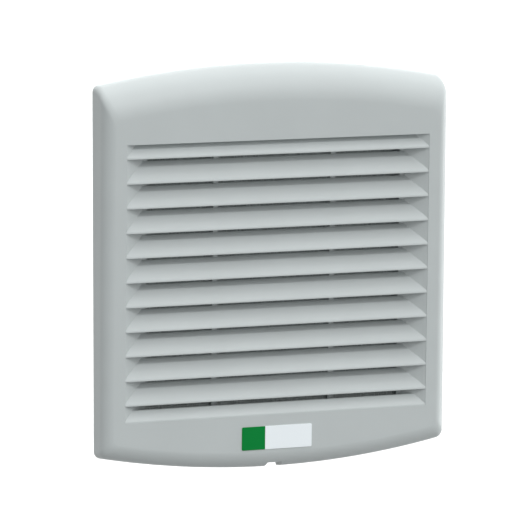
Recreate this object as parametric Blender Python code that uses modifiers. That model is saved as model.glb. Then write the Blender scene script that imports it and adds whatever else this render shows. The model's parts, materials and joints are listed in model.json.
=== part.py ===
# Cabinet filter fan: louvred cover, filter tray, panel frame and axial fan.
#
# Frame: X runs across, Z is up and the front faces -Y. The plane y = 0 is the
# outer face of the cabinet panel, with the origin at the centre of its square
# cut-out. +Y runs into the cabinet. Lengths are metres.

import math

import bmesh
import bpy
from mathutils import Matrix, Vector

# Gaps between pieces
SEAT = 0.0003
RUNNING_GAP = 0.001

# Square cut-out in the panel, which the cover, frame and fan are sized to
CUTOUT = 0.223
CUTOUT_CLEARANCE = 0.001

# Cover outline, seen from the front
COVER_SIDE_REACH = 0.0125
COVER_END_REACH = 0.0225
TOP_ARCH_RISE = 0.0124
BOTTOM_ARCH_RISE = 0.01265
COVER_CORNER = 0.005

# Cover depth and edges
COVER_REAR_GAP = 0.0015
COVER_DEPTH = 0.0182
FRONT_LEAN = 0.029
TOP_ROLL = 0.0232
SIDE_DRAFT = 0.0009
BOTTOM_DRAFT = 0.0016
SIDE_FILLET = 0.0078
BOTTOM_FILLET = 0.0102
COVER_WALL = 0.0025

# Louvres
SLAT_COUNT = 11
VENT_SIDE_MARGIN = 0.0165
VENT_TOP_MARGIN = 0.0499
VENT_BOTTOM_MARGIN = 0.0357
VENT_DEPTH = 0.0083
SLAT_GAP = 0.0021
SLAT_WALL = 0.0016
SLAT_LIP = 0.001
SLAT_SETBACK = 0.0001
TOP_RECESS = 0.0094
BOTTOM_RECESS = 0.0115
END_FACET = 0.0144
END_WIDTH = 0.0174
RIB_SPACING = 0.084
RIB_WIDTH = 0.0035
RIB_DEPTH = 0.0018

# Release notch in the cover's lower edge
NOTCH_WIDTH = 0.0117
NOTCH_TOP_WIDTH = 0.0102
NOTCH_DEPTH = 0.0023

# Cover hinge and catches
HINGE_Y = -0.008
HINGE_DROP = 0.005
HINGE_SPACING = 0.072
HINGE_PIN_RADIUS = 0.0015
HINGE_PIN_LENGTH = 0.014
HINGE_CHEEK = 0.003
CHEEK_WALL = 0.0015
CHEEK_START = 200.0
HOOK_WALL = 0.0013
HOOK_WIDTH = 0.0055
HOOK_START = 216.0
HOOK_END = 280.0
HOOK_RISE = 0.002
CATCH_SPACING = 0.064
CATCH_WIDTH = 0.012
CATCH_WALL = 0.002
CATCH_NOSE = 0.001

# Panel frame and gasket
FLANGE_LAND = 0.007
FLANGE_THICKNESS = 0.003
FLANGE_CORNER = 0.006
GASKET_THICKNESS = 0.0022
GASKET_INSET = 0.0008
SPIGOT_LENGTH = 0.03
SPIGOT_WALL = 0.0025
SPIGOT_CORNER = 0.005
TAPER_LENGTH = 0.011
BACK_THICKNESS = 0.003
BACK_MARGIN = 0.012
BACK_RIB_ANGLES = (36.0, 45.0, 54.0)
BACK_RIB_WIDTH = 0.002
BACK_RIB_HEIGHT = 0.003
BACK_RIB_GAP = 0.004
BACK_RIB_MARGIN = 0.008

# Filter mat and its tray
FILTER_THICKNESS = 0.018
TRAY_SIDE_GAP = 0.0032
TRAY_WALL = 0.0015
TRAY_FLOOR = 0.003
TRAY_LIP = 0.0015
TRAY_LIP_WIDTH = 0.004
TRAY_BAR = 0.0026
TRAY_ROWS = 8
TRAY_COLUMNS = 4

# Panel pawls
PANEL_THICKNESS = 0.002
PAWL_MARGIN = 0.0415
PAWL_WIDTH = 0.009
PAWL_THICKNESS = 0.002
PAWL_REACH = 0.0235
PAWL_PROUD = 0.0032
PAWL_RAMP = 0.011
PAWL_PIN_RADIUS = 0.001
PAWL_EYE = 0.0022
PAWL_EYE_START = -70.0
PAWL_LUG = 0.0025
PAWL_SIDE_GAP = 0.0005

# Axial fan
FAN_MARGIN = 0.0255
FAN_FLAT_DEPTH = 0.011
FAN_DEPTH = 0.051
FAN_FLANGE = 0.005
DUCT_RIM = 0.0025
DUCT_WALL = 0.0035
DUCT_MOUTH = 0.0035
SCREW_RIM = 0.005
SCREW_ANGLE = 30.0
SCREW_RADIUS = 0.002
SCREW_CLEARANCE = 0.0003
SCREW_HEAD_RADIUS = 0.0038
SCREW_CROWN_RADIUS = 0.003
SCREW_HEAD = 0.0025
STRUT_COUNT = 4
STRUT_WIDTH = 0.006

# Motor and impeller
MOTOR_BASE_THICKNESS = 0.004
CUP_RADIUS = 0.04
CUP_WALL = 0.0015
CUP_LENGTH = 0.033
CUP_ROUND = 0.004
HUB_WALL = 0.0022
BLADE_COUNT = 7
BLADE_CHORD = 0.043
BLADE_PITCH_HUB = 42.0
BLADE_PITCH_TIP = 27.0
BLADE_THICKNESS = 0.0024
BLADE_EDGE = 0.0009
BLADE_CAMBER = 0.004
BLADE_SWEEP = 14.0
SHAFT_RADIUS = 0.003
SHAFT_BOSS = 0.007
BEARING_RADIUS = 0.008
BEARING_LENGTH = 0.006
BEARING_TUBE_WALL = 0.0025
AIR_GAP = 0.0011
STATOR_LENGTH = 0.014
STATOR_SLOTS = 8
STATOR_SLOT_DEPTH = 0.012
STATOR_SLOT_WIDTH = 0.003
COIL_LENGTH = 0.005
CAGE_WALL = 0.0018

# Finger guard
GUARD_WIRE = 0.0022
GUARD_WELD = 0.00045
GUARD_RINGS = 5
GUARD_INNER_RADIUS = 0.016

# Terminal block and cable clamp
TERMINAL_WIDTH = 0.017
TERMINAL_LENGTH = 0.036
TERMINAL_HEIGHT = 0.018
TERMINAL_POLES = 3
TERMINAL_SCREW_RADIUS = 0.0027
TERMINAL_ENTRY = 0.0036
CLAMP_LENGTH = 0.01
CLAMP_CABLE_RADIUS = 0.004
CLAMP_WALL = 0.0022
CLAMP_GAP = 0.006
CLAMP_FOOT = 0.0038
CLAMP_SCREW_RADIUS = 0.0012
CLAMP_SCREW_HEAD_RADIUS = 0.0016
CLAMP_SCREW_HEAD = 0.0014
CLAMP_SCREW_BITE = 0.0025

# How far in from the corner the middle of a round fillet lies, as a share of its radius
FILLET_MIDDLE = 1 - math.sqrt(0.5)

# Facets
ARC_STEPS = 4
TOP_ARCH_STEPS = 14
BOTTOM_ARCH_STEPS = 12
ROUND_STEPS = 36
SMALL_STEPS = 12
WIRE_STEPS = 16
WIRE_STEPS_PER_RING = 3

# Sizes and places that follow from the ones above
COVER_WIDTH = CUTOUT + 2 * COVER_SIDE_REACH
COVER_HEIGHT = CUTOUT + 2 * COVER_END_REACH
TOP_ARCH_RADIUS = (COVER_WIDTH ** 2 / 4 + TOP_ARCH_RISE ** 2) / (2 * TOP_ARCH_RISE)
BOTTOM_ARCH_RADIUS = (COVER_WIDTH ** 2 / 4 + BOTTOM_ARCH_RISE ** 2) / (2 * BOTTOM_ARCH_RISE)
COVER_FRONT = COVER_REAR_GAP + COVER_DEPTH
HINGE_Z = COVER_HEIGHT / 2 - HINGE_DROP

VENT_HALF = COVER_WIDTH / 2 - VENT_SIDE_MARGIN
VENT_TOP = COVER_HEIGHT / 2 - VENT_TOP_MARGIN
VENT_BOTTOM = VENT_BOTTOM_MARGIN - COVER_HEIGHT / 2
FIRST_SLAT_EDGE = VENT_TOP - TOP_RECESS
LAST_SLAT_EDGE = VENT_BOTTOM + BOTTOM_RECESS
SLAT_PITCH = (FIRST_SLAT_EDGE - LAST_SLAT_EDGE) / (SLAT_COUNT - 1)
SLAT_RISE = SLAT_PITCH - SLAT_GAP
LOUVRE_BACK = VENT_DEPTH + SLAT_SETBACK + RIB_DEPTH

SPIGOT_HALF = CUTOUT / 2 - CUTOUT_CLEARANCE
SPIGOT_INSIDE = SPIGOT_HALF - SPIGOT_WALL
FLANGE_HALF = CUTOUT / 2 + FLANGE_LAND
FLANGE_REAR = -GASKET_THICKNESS - SEAT
FLANGE_FRONT = FLANGE_REAR - FLANGE_THICKNESS
TAPER_END = SPIGOT_LENGTH + TAPER_LENGTH
BACK_REAR = TAPER_END + BACK_THICKNESS
PAWL_SPACING = CUTOUT - 2 * PAWL_MARGIN

FAN_DIAMETER = CUTOUT - 2 * FAN_MARGIN
FAN_FLATS = FAN_DIAMETER - 2 * FAN_FLAT_DEPTH
DUCT_RADIUS = FAN_FLATS / 2 - DUCT_RIM
SCREW_CIRCLE = FAN_DIAMETER - 2 * SCREW_RIM
BACK_HALF = FAN_DIAMETER / 2 + BACK_MARGIN
GUARD_PITCH = (DUCT_RADIUS + SEAT - GUARD_INNER_RADIUS) / (GUARD_RINGS - 1)

TRAY_HALF = SPIGOT_INSIDE - TRAY_SIDE_GAP
TRAY_INSIDE = TRAY_HALF - TRAY_WALL
TRAY_LIP_REAR = FLANGE_FRONT - SEAT
TRAY_FRONT = TRAY_LIP_REAR - TRAY_LIP
MAT_FRONT = LOUVRE_BACK + RUNNING_GAP - COVER_FRONT - FRONT_LEAN * (VENT_BOTTOM - COVER_WALL)
FLOOR_FRONT = MAT_FRONT + FILTER_THICKNESS + SEAT
FLOOR_REAR = FLOOR_FRONT + TRAY_FLOOR

FAN_FRONT = BACK_REAR + SEAT
FAN_REAR = FAN_FRONT + FAN_DEPTH
MOTOR_BASE_FRONT = FAN_REAR - FAN_FLANGE - MOTOR_BASE_THICKNESS
MOTOR_BASE_RADIUS = CUP_RADIUS
STATOR_RADIUS = CUP_RADIUS - CUP_WALL - SEAT - CAGE_WALL - AIR_GAP
CUP_REAR = MOTOR_BASE_FRONT - RUNNING_GAP
CUP_FRONT = CUP_REAR - CUP_LENGTH
HUB_RADIUS = CUP_RADIUS + SEAT + HUB_WALL
BEARING_BORE = SHAFT_RADIUS + SEAT
TUBE_BORE = BEARING_RADIUS + SEAT
TUBE_RADIUS = TUBE_BORE + BEARING_TUBE_WALL
TUBE_FRONT = CUP_FRONT + CUP_WALL + SHAFT_BOSS + RUNNING_GAP


# Collections, materials and objects

def clear_scene():
    for item in list(bpy.data.objects):
        bpy.data.objects.remove(item)


def new_collection(name):
    collection = bpy.data.collections.new(name)
    bpy.context.scene.collection.children.link(collection)
    return collection


def new_material(name, colour, roughness, metallic=0.0):
    material = bpy.data.materials.new(name)
    material.use_nodes = True
    shader = material.node_tree.nodes["Principled BSDF"]
    shader.inputs["Base Color"].default_value = (*colour, 1.0)
    shader.inputs["Roughness"].default_value = roughness
    shader.inputs["Metallic"].default_value = metallic
    return material


def add_part(name, mesh, material):
    part = bpy.data.objects.new(name, mesh)
    PARTS.objects.link(part)
    mesh.materials.clear()
    mesh.materials.append(material)
    return part


def combine(part, step_name, tools, operation):
    """One Boolean of a part with a collection of hidden tools."""
    tool_box = bpy.data.collections.new(step_name)
    CUTTERS.children.link(tool_box)
    for mesh in tools:
        tool = bpy.data.objects.new(mesh.name, mesh)
        tool_box.objects.link(tool)
        tool.hide_render = True
        tool.display_type = "WIRE"
    step = part.modifiers.new(step_name, "BOOLEAN")
    step.operand_type = "COLLECTION"
    step.collection = tool_box
    step.operation = operation
    step.solver = "EXACT"


def cut(part, step_name, *tools):
    combine(part, step_name, tools, "DIFFERENCE")


def join(part, step_name, *tools):
    combine(part, step_name, tools, "UNION")


# Meshes

def finish_mesh(name, shape):
    bmesh.ops.recalc_face_normals(shape, faces=shape.faces)
    mesh = bpy.data.meshes.new(name)
    shape.to_mesh(mesh)
    shape.free()
    return mesh


def loft(name, rings, cap_first=True, cap_last=True):
    """Skin a row of rings that have as many points each."""
    shape = bmesh.new()
    rows = [[shape.verts.new(point) for point in ring] for ring in rings]
    count = len(rings[0])
    for lower, upper in zip(rows, rows[1:]):
        for index in range(count):
            following = (index + 1) % count
            shape.faces.new((lower[index], lower[following], upper[following], upper[index]))
    if cap_first:
        shape.faces.new(rows[0])
    if cap_last:
        shape.faces.new(rows[-1])
    return finish_mesh(name, shape)


def box(name, low, high):
    shape = bmesh.new()
    bmesh.ops.create_cube(shape, size=1.0)
    size = [b - a for a, b in zip(low, high)]
    centre = [(a + b) / 2 for a, b in zip(low, high)]
    bmesh.ops.scale(shape, vec=size, verts=shape.verts)
    bmesh.ops.translate(shape, vec=centre, verts=shape.verts)
    return finish_mesh(name, shape)


def along_x(outline, low, high):
    """Rings of a (y, z) outline at two places along X."""
    return [[(x, y, z) for y, z in outline] for x in (low, high)]


def along_y(outline, low, high):
    """Rings of an (x, z) outline at two places along Y."""
    return [[(x, y, z) for x, z in outline] for y in (low, high)]


def along_z(outline, low, high):
    """Rings of an (x, y) outline at two places along Z."""
    return [[(x, y, z) for x, y in outline] for z in (low, high)]


def circle(radius, steps, centre=(0.0, 0.0)):
    turns = [2 * math.pi * (step + 0.5) / steps for step in range(steps)]
    return [(centre[0] + radius * math.cos(a), centre[1] + radius * math.sin(a)) for a in turns]


def rounded_square(half, corner):
    points = []
    inner = half - corner
    for quarter, (sx, sz) in enumerate(((1, 1), (-1, 1), (-1, -1), (1, -1))):
        for step in range(ARC_STEPS + 1):
            angle = math.pi / 2 * (quarter + step / ARC_STEPS)
            points.append((sx * inner + corner * math.cos(angle), sz * inner + corner * math.sin(angle)))
    return points


def disc(name, radius, low, high, steps=SMALL_STEPS, centre=(0.0, 0.0)):
    """A round bar along Y, its centre given in X and Z."""
    return loft(name, along_y(circle(radius, steps, centre), low, high))


def turned(name, profile, material, steps=ROUND_STEPS):
    """Turn a closed (radius, y) profile about the fan's axis."""
    area = sum(a[0] * b[1] - b[0] * a[1] for a, b in zip(profile, profile[1:] + profile[:1]))
    ordered = profile if area < 0 else profile[::-1]
    mesh = bpy.data.meshes.new(name)
    points = [(radius, 0.0, y) for radius, y in ordered]
    edges = [(index, (index + 1) % len(points)) for index in range(len(points))]
    mesh.from_pydata(points, edges, [])
    part = add_part(name, mesh, material)
    part.rotation_euler.x = -math.pi / 2
    screw = part.modifiers.new("Turn", "SCREW")
    screw.steps = steps
    screw.render_steps = steps
    screw.use_merge_vertices = True
    screw.merge_threshold = 0.00001
    return part


def weld(mesh):
    shape = bmesh.new()
    shape.from_mesh(mesh)
    bmesh.ops.remove_doubles(shape, verts=shape.verts, dist=0.00001)
    bmesh.ops.recalc_face_normals(shape, faces=shape.faces)
    shape.to_mesh(mesh)
    shape.free()
    return mesh


# Cover

def front_plane(z):
    """The y of the cover's leaning front face at a height."""
    return -(COVER_FRONT + FRONT_LEAN * z)


def leaned(mesh):
    """Move a mesh drawn by depth behind the front face to its leaning place."""
    for vertex in mesh.vertices:
        vertex.co.y += front_plane(vertex.co.z)
    return mesh


def arched_outline(top, side, bottom, wall=0.0):
    """The cover's outline, drawn in by its own amount at the top, sides and bottom."""
    half = COVER_WIDTH / 2 - side
    corner = COVER_CORNER - wall
    points = []
    ends = (
        (1, COVER_HEIGHT / 2 - top, TOP_ARCH_RADIUS - wall, TOP_ARCH_STEPS),
        (-1, COVER_HEIGHT / 2 - bottom, BOTTOM_ARCH_RADIUS - wall, BOTTOM_ARCH_STEPS),
    )
    for sign, height, radius, steps in ends:
        centre = height - radius
        corner_x = half - corner
        corner_z = centre + math.sqrt((radius - corner) ** 2 - corner_x ** 2)
        tangent = math.atan2(corner_z - centre, corner_x)
        rounding = []
        for step in range(ARC_STEPS):
            angle = tangent * step / ARC_STEPS
            rounding.append((corner_x + corner * math.cos(angle), corner_z + corner * math.sin(angle)))
        arch = []
        for step in range(steps + 1):
            angle = tangent + (math.pi - 2 * tangent) * step / steps
            arch.append((radius * math.cos(angle), centre + radius * math.sin(angle)))
        outline = rounding + arch + [(-x, z) for x, z in rounding[::-1]]
        points += [(sign * x, sign * z) for x, z in outline]
    return points


def fillet_inset(depth, full_depth, radius):
    """How far a front fillet of this radius draws the outline in at a depth."""
    past = max(0.0, depth - (full_depth - radius))
    return radius - math.sqrt(max(0.0, radius ** 2 - past ** 2))


def cover_ring(share, wall=0.0):
    """The outline at a share of the depth from the rear edge to the front, a wall inside the outer face."""
    full = COVER_DEPTH - wall
    depth = share * full
    top = wall + (TOP_ROLL - wall) * (1 - math.sqrt(1 - share ** 2))
    side = wall + SIDE_DRAFT * share + fillet_inset(depth, full, SIDE_FILLET - wall)
    bottom = wall + BOTTOM_DRAFT * share + fillet_inset(depth, full, BOTTOM_FILLET - wall)
    ring = []
    for x, z in arched_outline(top, side, bottom, wall):
        ring.append((x, -COVER_REAR_GAP - share * (full + FRONT_LEAN * z), z))
    return ring


def cover_shell(material):
    shares = (0.0, 0.35, 0.57, 0.7, 0.8, 0.88, 0.94, 0.98, 1.0)
    outside = [cover_ring(share) for share in shares]
    inside = [cover_ring(share, COVER_WALL) for share in shares]
    opening = [(x, RUNNING_GAP, z) for x, _, z in inside[0]]
    cover = add_part("front_cover", loft("front_cover", outside), material)
    cut(cover, "inside", loft("cover_inside", [opening] + inside))
    return cover


def slat_outline(edge):
    """A blade's section by depth and height: a short upright lip, then a face that slopes to the rear."""
    top = edge + SLAT_RISE
    return [
        (SLAT_SETBACK, edge),
        (SLAT_SETBACK + SLAT_LIP / 10, edge + SLAT_LIP),
        (VENT_DEPTH / 2, edge + (SLAT_RISE + SLAT_LIP) / 2),
        (VENT_DEPTH, top),
        (VENT_DEPTH + SLAT_WALL, top - SLAT_WALL / 2),
        (SLAT_SETBACK + SLAT_WALL, edge),
    ]


def vent_window():
    low, high = VENT_BOTTOM, VENT_TOP
    corners = [(-VENT_HALF, low), (VENT_HALF, low), (VENT_HALF, high), (-VENT_HALF, high)]
    return leaned(loft("vent_window", along_y(corners, -COVER_WALL, COVER_WALL + RUNNING_GAP)))


def vent_end(side):
    """The wall that closes the louvres at one side: a slanted facet, then a narrow floor."""
    facet = side * (VENT_HALF - END_FACET)
    inner = side * (VENT_HALF - END_WIDTH)
    outer = side * (VENT_HALF + COVER_WALL / 2)
    floor = VENT_DEPTH + 2 * SLAT_SETBACK
    section = [
        (side * VENT_HALF, 3 * SLAT_SETBACK),
        (facet, floor),
        (inner, floor + SLAT_SETBACK),
        (inner, floor + SLAT_WALL),
        (facet, floor + SLAT_WALL),
        (outer, COVER_WALL + RUNNING_GAP),
        (outer, SLAT_SETBACK + COVER_WALL / 2),
    ]
    rings = along_z(section, VENT_BOTTOM - COVER_WALL, VENT_TOP + COVER_WALL)
    return leaned(loft("vent_end", rings))


def slats():
    reach = VENT_HALF + COVER_WALL / 3
    for index in range(SLAT_COUNT):
        outline = slat_outline(FIRST_SLAT_EDGE - index * SLAT_PITCH)
        yield leaned(loft(f"slat_{index + 1:02d}", along_x(outline, -reach, reach)))


def vent_rib(side):
    centre = side * RIB_SPACING / 2
    front = VENT_DEPTH + SLAT_SETBACK
    low = (centre - RIB_WIDTH / 2, front, VENT_BOTTOM - COVER_WALL)
    high = (centre + RIB_WIDTH / 2, front + RIB_DEPTH, VENT_TOP + COVER_WALL)
    return leaned(box("vent_rib", low, high))


def vent_head():
    """The closed half recess above the first blade."""
    reach = VENT_HALF + COVER_WALL / 4
    ceiling = VENT_TOP + SLAT_SETBACK
    wall = SLAT_SETBACK + COVER_WALL / 2
    outline = [
        (wall, ceiling),
        (VENT_DEPTH * TOP_RECESS / SLAT_RISE + SLAT_WALL, ceiling),
        (VENT_DEPTH + SLAT_WALL, FIRST_SLAT_EDGE + SLAT_RISE),
        (VENT_DEPTH + SLAT_WALL, FIRST_SLAT_EDGE + SLAT_RISE + SLAT_WALL),
        (wall, ceiling + SLAT_WALL),
    ]
    return leaned(loft("vent_head", along_x(outline, -reach, reach)))


def vent_sill():
    """The sloped sill below the last blade, closed behind it."""
    reach = VENT_HALF + COVER_WALL / 5
    top = LAST_SLAT_EDGE - SLAT_GAP
    depth = VENT_DEPTH * (top - VENT_BOTTOM) / SLAT_RISE
    back = LAST_SLAT_EDGE + SLAT_RISE / 2
    outline = [
        (SLAT_SETBACK, VENT_BOTTOM + SLAT_SETBACK),
        (depth, top),
        (depth, back),
        (depth + SLAT_WALL, back),
        (depth + SLAT_WALL, top),
        (COVER_WALL, VENT_BOTTOM - COVER_WALL),
        (SLAT_SETBACK + COVER_WALL / 2, VENT_BOTTOM - COVER_WALL),
    ]
    return leaned(loft("vent_sill", along_x(outline, -reach, reach)))


def release_notch():
    """The screwdriver notch, out through the lower edge and the front fillet."""
    low = -COVER_HEIGHT / 2
    half_low = NOTCH_WIDTH / 2
    half_top = NOTCH_TOP_WIDTH / 2
    spread = (half_low - half_top) / NOTCH_DEPTH * COVER_WALL
    top = low + NOTCH_DEPTH + BOTTOM_DRAFT
    outline = [
        (-half_low - spread, low - COVER_WALL),
        (half_low + spread, low - COVER_WALL),
        (half_top, top),
        (-half_top, top),
    ]
    return loft("release_notch", along_y(outline, front_plane(low) - RUNNING_GAP, RUNNING_GAP))


def roof_middle(x, y):
    """The height of the middle of the cover's rolled roof wall at a place."""
    arch = TOP_ARCH_RADIUS - math.sqrt(TOP_ARCH_RADIUS ** 2 - x ** 2)
    full = COVER_DEPTH + FRONT_LEAN * (COVER_HEIGHT / 2 - arch)
    share = (-y - COVER_REAR_GAP) / full
    return COVER_HEIGHT / 2 - arch - TOP_ROLL * (1 - math.sqrt(1 - share ** 2)) - COVER_WALL / 2


def hinge_cheek(centre):
    """A cheek that hangs from the cover's roof and holds one end of a hinge pin."""
    radius = HINGE_PIN_RADIUS + CHEEK_WALL
    outer_x = abs(centre) + HINGE_CHEEK / 2
    outline = []
    for y in (HINGE_Y + radius, HINGE_Y - radius / 2):
        outline.append((y, roof_middle(outer_x, y)))
    for step in range(6):
        angle = math.radians(CHEEK_START + (360 - CHEEK_START) * step / 5)
        outline.append((HINGE_Y + radius * math.cos(angle), HINGE_Z + radius * math.sin(angle)))
    return loft("hinge_cheek", along_x(outline, centre - HINGE_CHEEK / 2, centre + HINGE_CHEEK / 2))


def cover_hinges():
    offset = (HINGE_PIN_LENGTH - HINGE_CHEEK) / 2
    for side in (-1, 1):
        centre = side * HINGE_SPACING / 2
        yield hinge_cheek(centre - offset)
        yield hinge_cheek(centre + offset)
        pin = circle(HINGE_PIN_RADIUS, SMALL_STEPS, (HINGE_Y, HINGE_Z))
        yield loft("hinge_pin", along_x(pin, centre - offset, centre + offset))


def catch_line():
    """The height of the cover's inner lower wall at a catch."""
    x = CATCH_SPACING / 2 + CATCH_WIDTH / 2
    arch = BOTTOM_ARCH_RADIUS - math.sqrt(BOTTOM_ARCH_RADIUS ** 2 - x ** 2)
    return -COVER_HEIGHT / 2 + arch + COVER_WALL + BOTTOM_DRAFT


def catch_ledge(side):
    """A low ledge on the inner lower wall behind a catch tongue's nose."""
    top = catch_line() + CATCH_NOSE
    centre = side * CATCH_SPACING / 2
    low = (centre - CATCH_WIDTH / 2, FLANGE_FRONT, top - CATCH_NOSE - COVER_WALL / 2)
    high = (centre + CATCH_WIDTH / 2, FLANGE_FRONT + CATCH_WALL, top)
    return box("catch_ledge", low, high)


def make_cover(material):
    cover = cover_shell(material)
    cut(cover, "window", vent_window())
    sides = (-1, 1)
    ends = [vent_end(side) for side in sides]
    ribs = [vent_rib(side) for side in sides]
    ledges = [catch_ledge(side) for side in sides]
    join(cover, "louvres", *ends, *slats(), *ribs, vent_head(), vent_sill(), *cover_hinges(), *ledges)
    cut(cover, "notch", release_notch())
    return cover


# Panel frame

def frame_body(material):
    """The spigot through the cut-out, its taper and the back plate that carries the fan."""
    outside = [
        [(x, FLANGE_REAR - SEAT, z) for x, z in rounded_square(SPIGOT_HALF, SPIGOT_CORNER)],
        [(x, SPIGOT_LENGTH, z) for x, z in rounded_square(SPIGOT_HALF, SPIGOT_CORNER)],
        [(x, TAPER_END, z) for x, z in rounded_square(BACK_HALF, SPIGOT_CORNER)],
        [(x, BACK_REAR, z) for x, z in rounded_square(BACK_HALF, SPIGOT_CORNER)],
    ]
    corner = SPIGOT_CORNER - SPIGOT_WALL
    slant = math.atan2(SPIGOT_HALF - BACK_HALF, TAPER_LENGTH)
    bend = SPIGOT_LENGTH - SPIGOT_WALL * math.tan(slant / 2)
    inside = [
        [(x, FLANGE_FRONT - RUNNING_GAP, z) for x, z in rounded_square(SPIGOT_INSIDE, corner)],
        [(x, bend, z) for x, z in rounded_square(SPIGOT_INSIDE, corner)],
        [(x, TAPER_END, z) for x, z in rounded_square(BACK_HALF - SPIGOT_WALL / math.cos(slant), corner)],
    ]
    frame = add_part("base_frame", loft("base_frame", outside), material)
    flange = along_y(rounded_square(FLANGE_HALF, FLANGE_CORNER), FLANGE_FRONT, FLANGE_REAR)
    join(frame, "flange", loft("frame_flange", flange))
    mouth = disc("fan_opening", DUCT_RADIUS + DUCT_MOUTH, SPIGOT_LENGTH, BACK_REAR + RUNNING_GAP, ROUND_STEPS)
    cut(frame, "inside", loft("spigot_bore", inside), mouth)
    return frame


def hinge_hook(side):
    """An open hook that holds a cover pin from the front and below."""
    inner = HINGE_PIN_RADIUS + SEAT
    outer = inner + HOOK_WALL
    arm_foot = FLANGE_HALF - FLANGE_LAND / 2
    centre = side * HINGE_SPACING / 2
    angles = [math.radians(HOOK_START + (HOOK_END - HOOK_START) * step / 6) for step in range(7)]
    rim = [(HINGE_Y + inner * math.cos(a), HINGE_Z + inner * math.sin(a)) for a in angles]
    back = [(HINGE_Y + outer * math.cos(a), HINGE_Z + outer * math.sin(a)) for a in angles[:3]]
    arm_rear = HINGE_Y + outer * math.cos(angles[-1])
    arm = [
        (arm_rear, HINGE_Z - outer),
        (arm_rear, FLANGE_HALF + HOOK_RISE),
        (FLANGE_REAR - SEAT, FLANGE_HALF + SEAT),
        (FLANGE_REAR - SEAT, arm_foot),
        (back[-1][0], arm_foot),
    ]
    outline = rim + arm + back[::-1]
    return loft("hinge_hook", along_x(outline, centre - HOOK_WIDTH / 2, centre + HOOK_WIDTH / 2))


def catch_tongue(side):
    """A tongue on the flange's lower edge whose nose holds the cover's ledge."""
    centre = side * CATCH_SPACING / 2
    tip = catch_line() + CATCH_NOSE + SEAT
    low = (centre - CATCH_WIDTH / 2, FLANGE_FRONT - CATCH_WALL - SEAT, tip)
    high = (centre + CATCH_WIDTH / 2, FLANGE_FRONT + FLANGE_THICKNESS / 2, -FLANGE_HALF + FLANGE_LAND / 2)
    return box("catch_tongue", low, high)


def back_ribs():
    """Stiffening ribs on the back plate, three that fan out to each corner."""
    start = FAN_DIAMETER / 2 + BACK_RIB_GAP
    for angle in BACK_RIB_ANGLES:
        turn = math.radians(angle)
        end = (BACK_HALF - BACK_RIB_MARGIN) / max(math.sin(turn), math.cos(turn))
        for quarter in range(4):
            low = (start, BACK_REAR - BACK_THICKNESS / 2, -BACK_RIB_WIDTH / 2)
            high = (end, BACK_REAR + BACK_RIB_HEIGHT, BACK_RIB_WIDTH / 2)
            rib = box("back_rib", low, high)
            rib.transform(Matrix.Rotation(turn + math.pi / 2 * quarter, 4, "Y"))
            yield rib


def pawl_places():
    for side, across in ((-1, "left"), (1, "right")):
        for level, height in ((1, "upper"), (-1, "lower")):
            yield side, level * PAWL_SPACING / 2, f"{across}_{height}"


def pawl_pin_centre(side):
    return side * (SPIGOT_HALF - PAWL_EYE - SEAT), PANEL_THICKNESS + SEAT + PAWL_REACH


def pawl_slot_half():
    return PAWL_WIDTH / 2 + PAWL_SIDE_GAP


def pawl_lugs():
    """Two lugs at each pawl, on the spigot's inner wall, for its pin."""
    root = SPIGOT_INSIDE + SPIGOT_WALL / 2
    for side, height, place in pawl_places():
        pin_x, pin_y = pawl_pin_centre(side)
        ends = sorted((side * (abs(pin_x) - PAWL_PIN_RADIUS - PAWL_LUG), side * root))
        for step in (-1, 1):
            middle = height + step * (pawl_slot_half() + PAWL_LUG / 2)
            low = (ends[0], pin_y - PAWL_EYE, middle - PAWL_LUG / 2)
            high = (ends[1], pin_y + PAWL_EYE, middle + PAWL_LUG / 2)
            yield box(f"pawl_lug_{place}", low, high)


def pawl_windows():
    """The opening in the side wall that each pawl swings through."""
    for side, height, place in pawl_places():
        pin_x, pin_y = pawl_pin_centre(side)
        inner = abs(pin_x) - PAWL_PIN_RADIUS - PAWL_LUG - RUNNING_GAP
        ends = sorted((side * inner, side * (SPIGOT_HALF + PAWL_EYE)))
        half = pawl_slot_half()
        low = (ends[0], PANEL_THICKNESS / 2, height - half)
        high = (ends[1], pin_y + PAWL_EYE + RUNNING_GAP, height + half)
        yield box(f"pawl_window_{place}", low, high)


def pawl_bore(side, height, place, reach):
    ring = circle(PAWL_PIN_RADIUS + SEAT, SMALL_STEPS, pawl_pin_centre(side))
    return loft(f"pawl_bore_{place}", along_z(ring, height - reach, height + reach))


def screw_places():
    radius = SCREW_CIRCLE / 2
    for turn in (SCREW_ANGLE, 180 - SCREW_ANGLE, 180 + SCREW_ANGLE, 360 - SCREW_ANGLE):
        angle = math.radians(turn)
        yield radius * math.sin(angle), radius * math.cos(angle)


def screw_holes(low, high):
    radius = SCREW_RADIUS + SCREW_CLEARANCE
    return [disc("screw_hole", radius, low, high, centre=centre) for centre in screw_places()]


def make_base_frame(material):
    frame = frame_body(material)
    sides = (-1, 1)
    hooks = [hinge_hook(side) for side in sides]
    tongues = [catch_tongue(side) for side in sides]
    join(frame, "hooks_lugs_and_ribs", *hooks, *tongues, *pawl_lugs(), *back_ribs())
    lug_reach = pawl_slot_half() + PAWL_LUG + RUNNING_GAP
    bores = [pawl_bore(side, height, place, lug_reach) for side, height, place in pawl_places()]
    cut(frame, "pawl_windows", *pawl_windows())
    clamp_holes = clamp_screw_holes(TAPER_END - RUNNING_GAP, BACK_REAR + RUNNING_GAP)
    cut(frame, "bores", *bores, *screw_holes(SPIGOT_LENGTH, BACK_REAR + RUNNING_GAP), *clamp_holes)
    return frame


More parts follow.
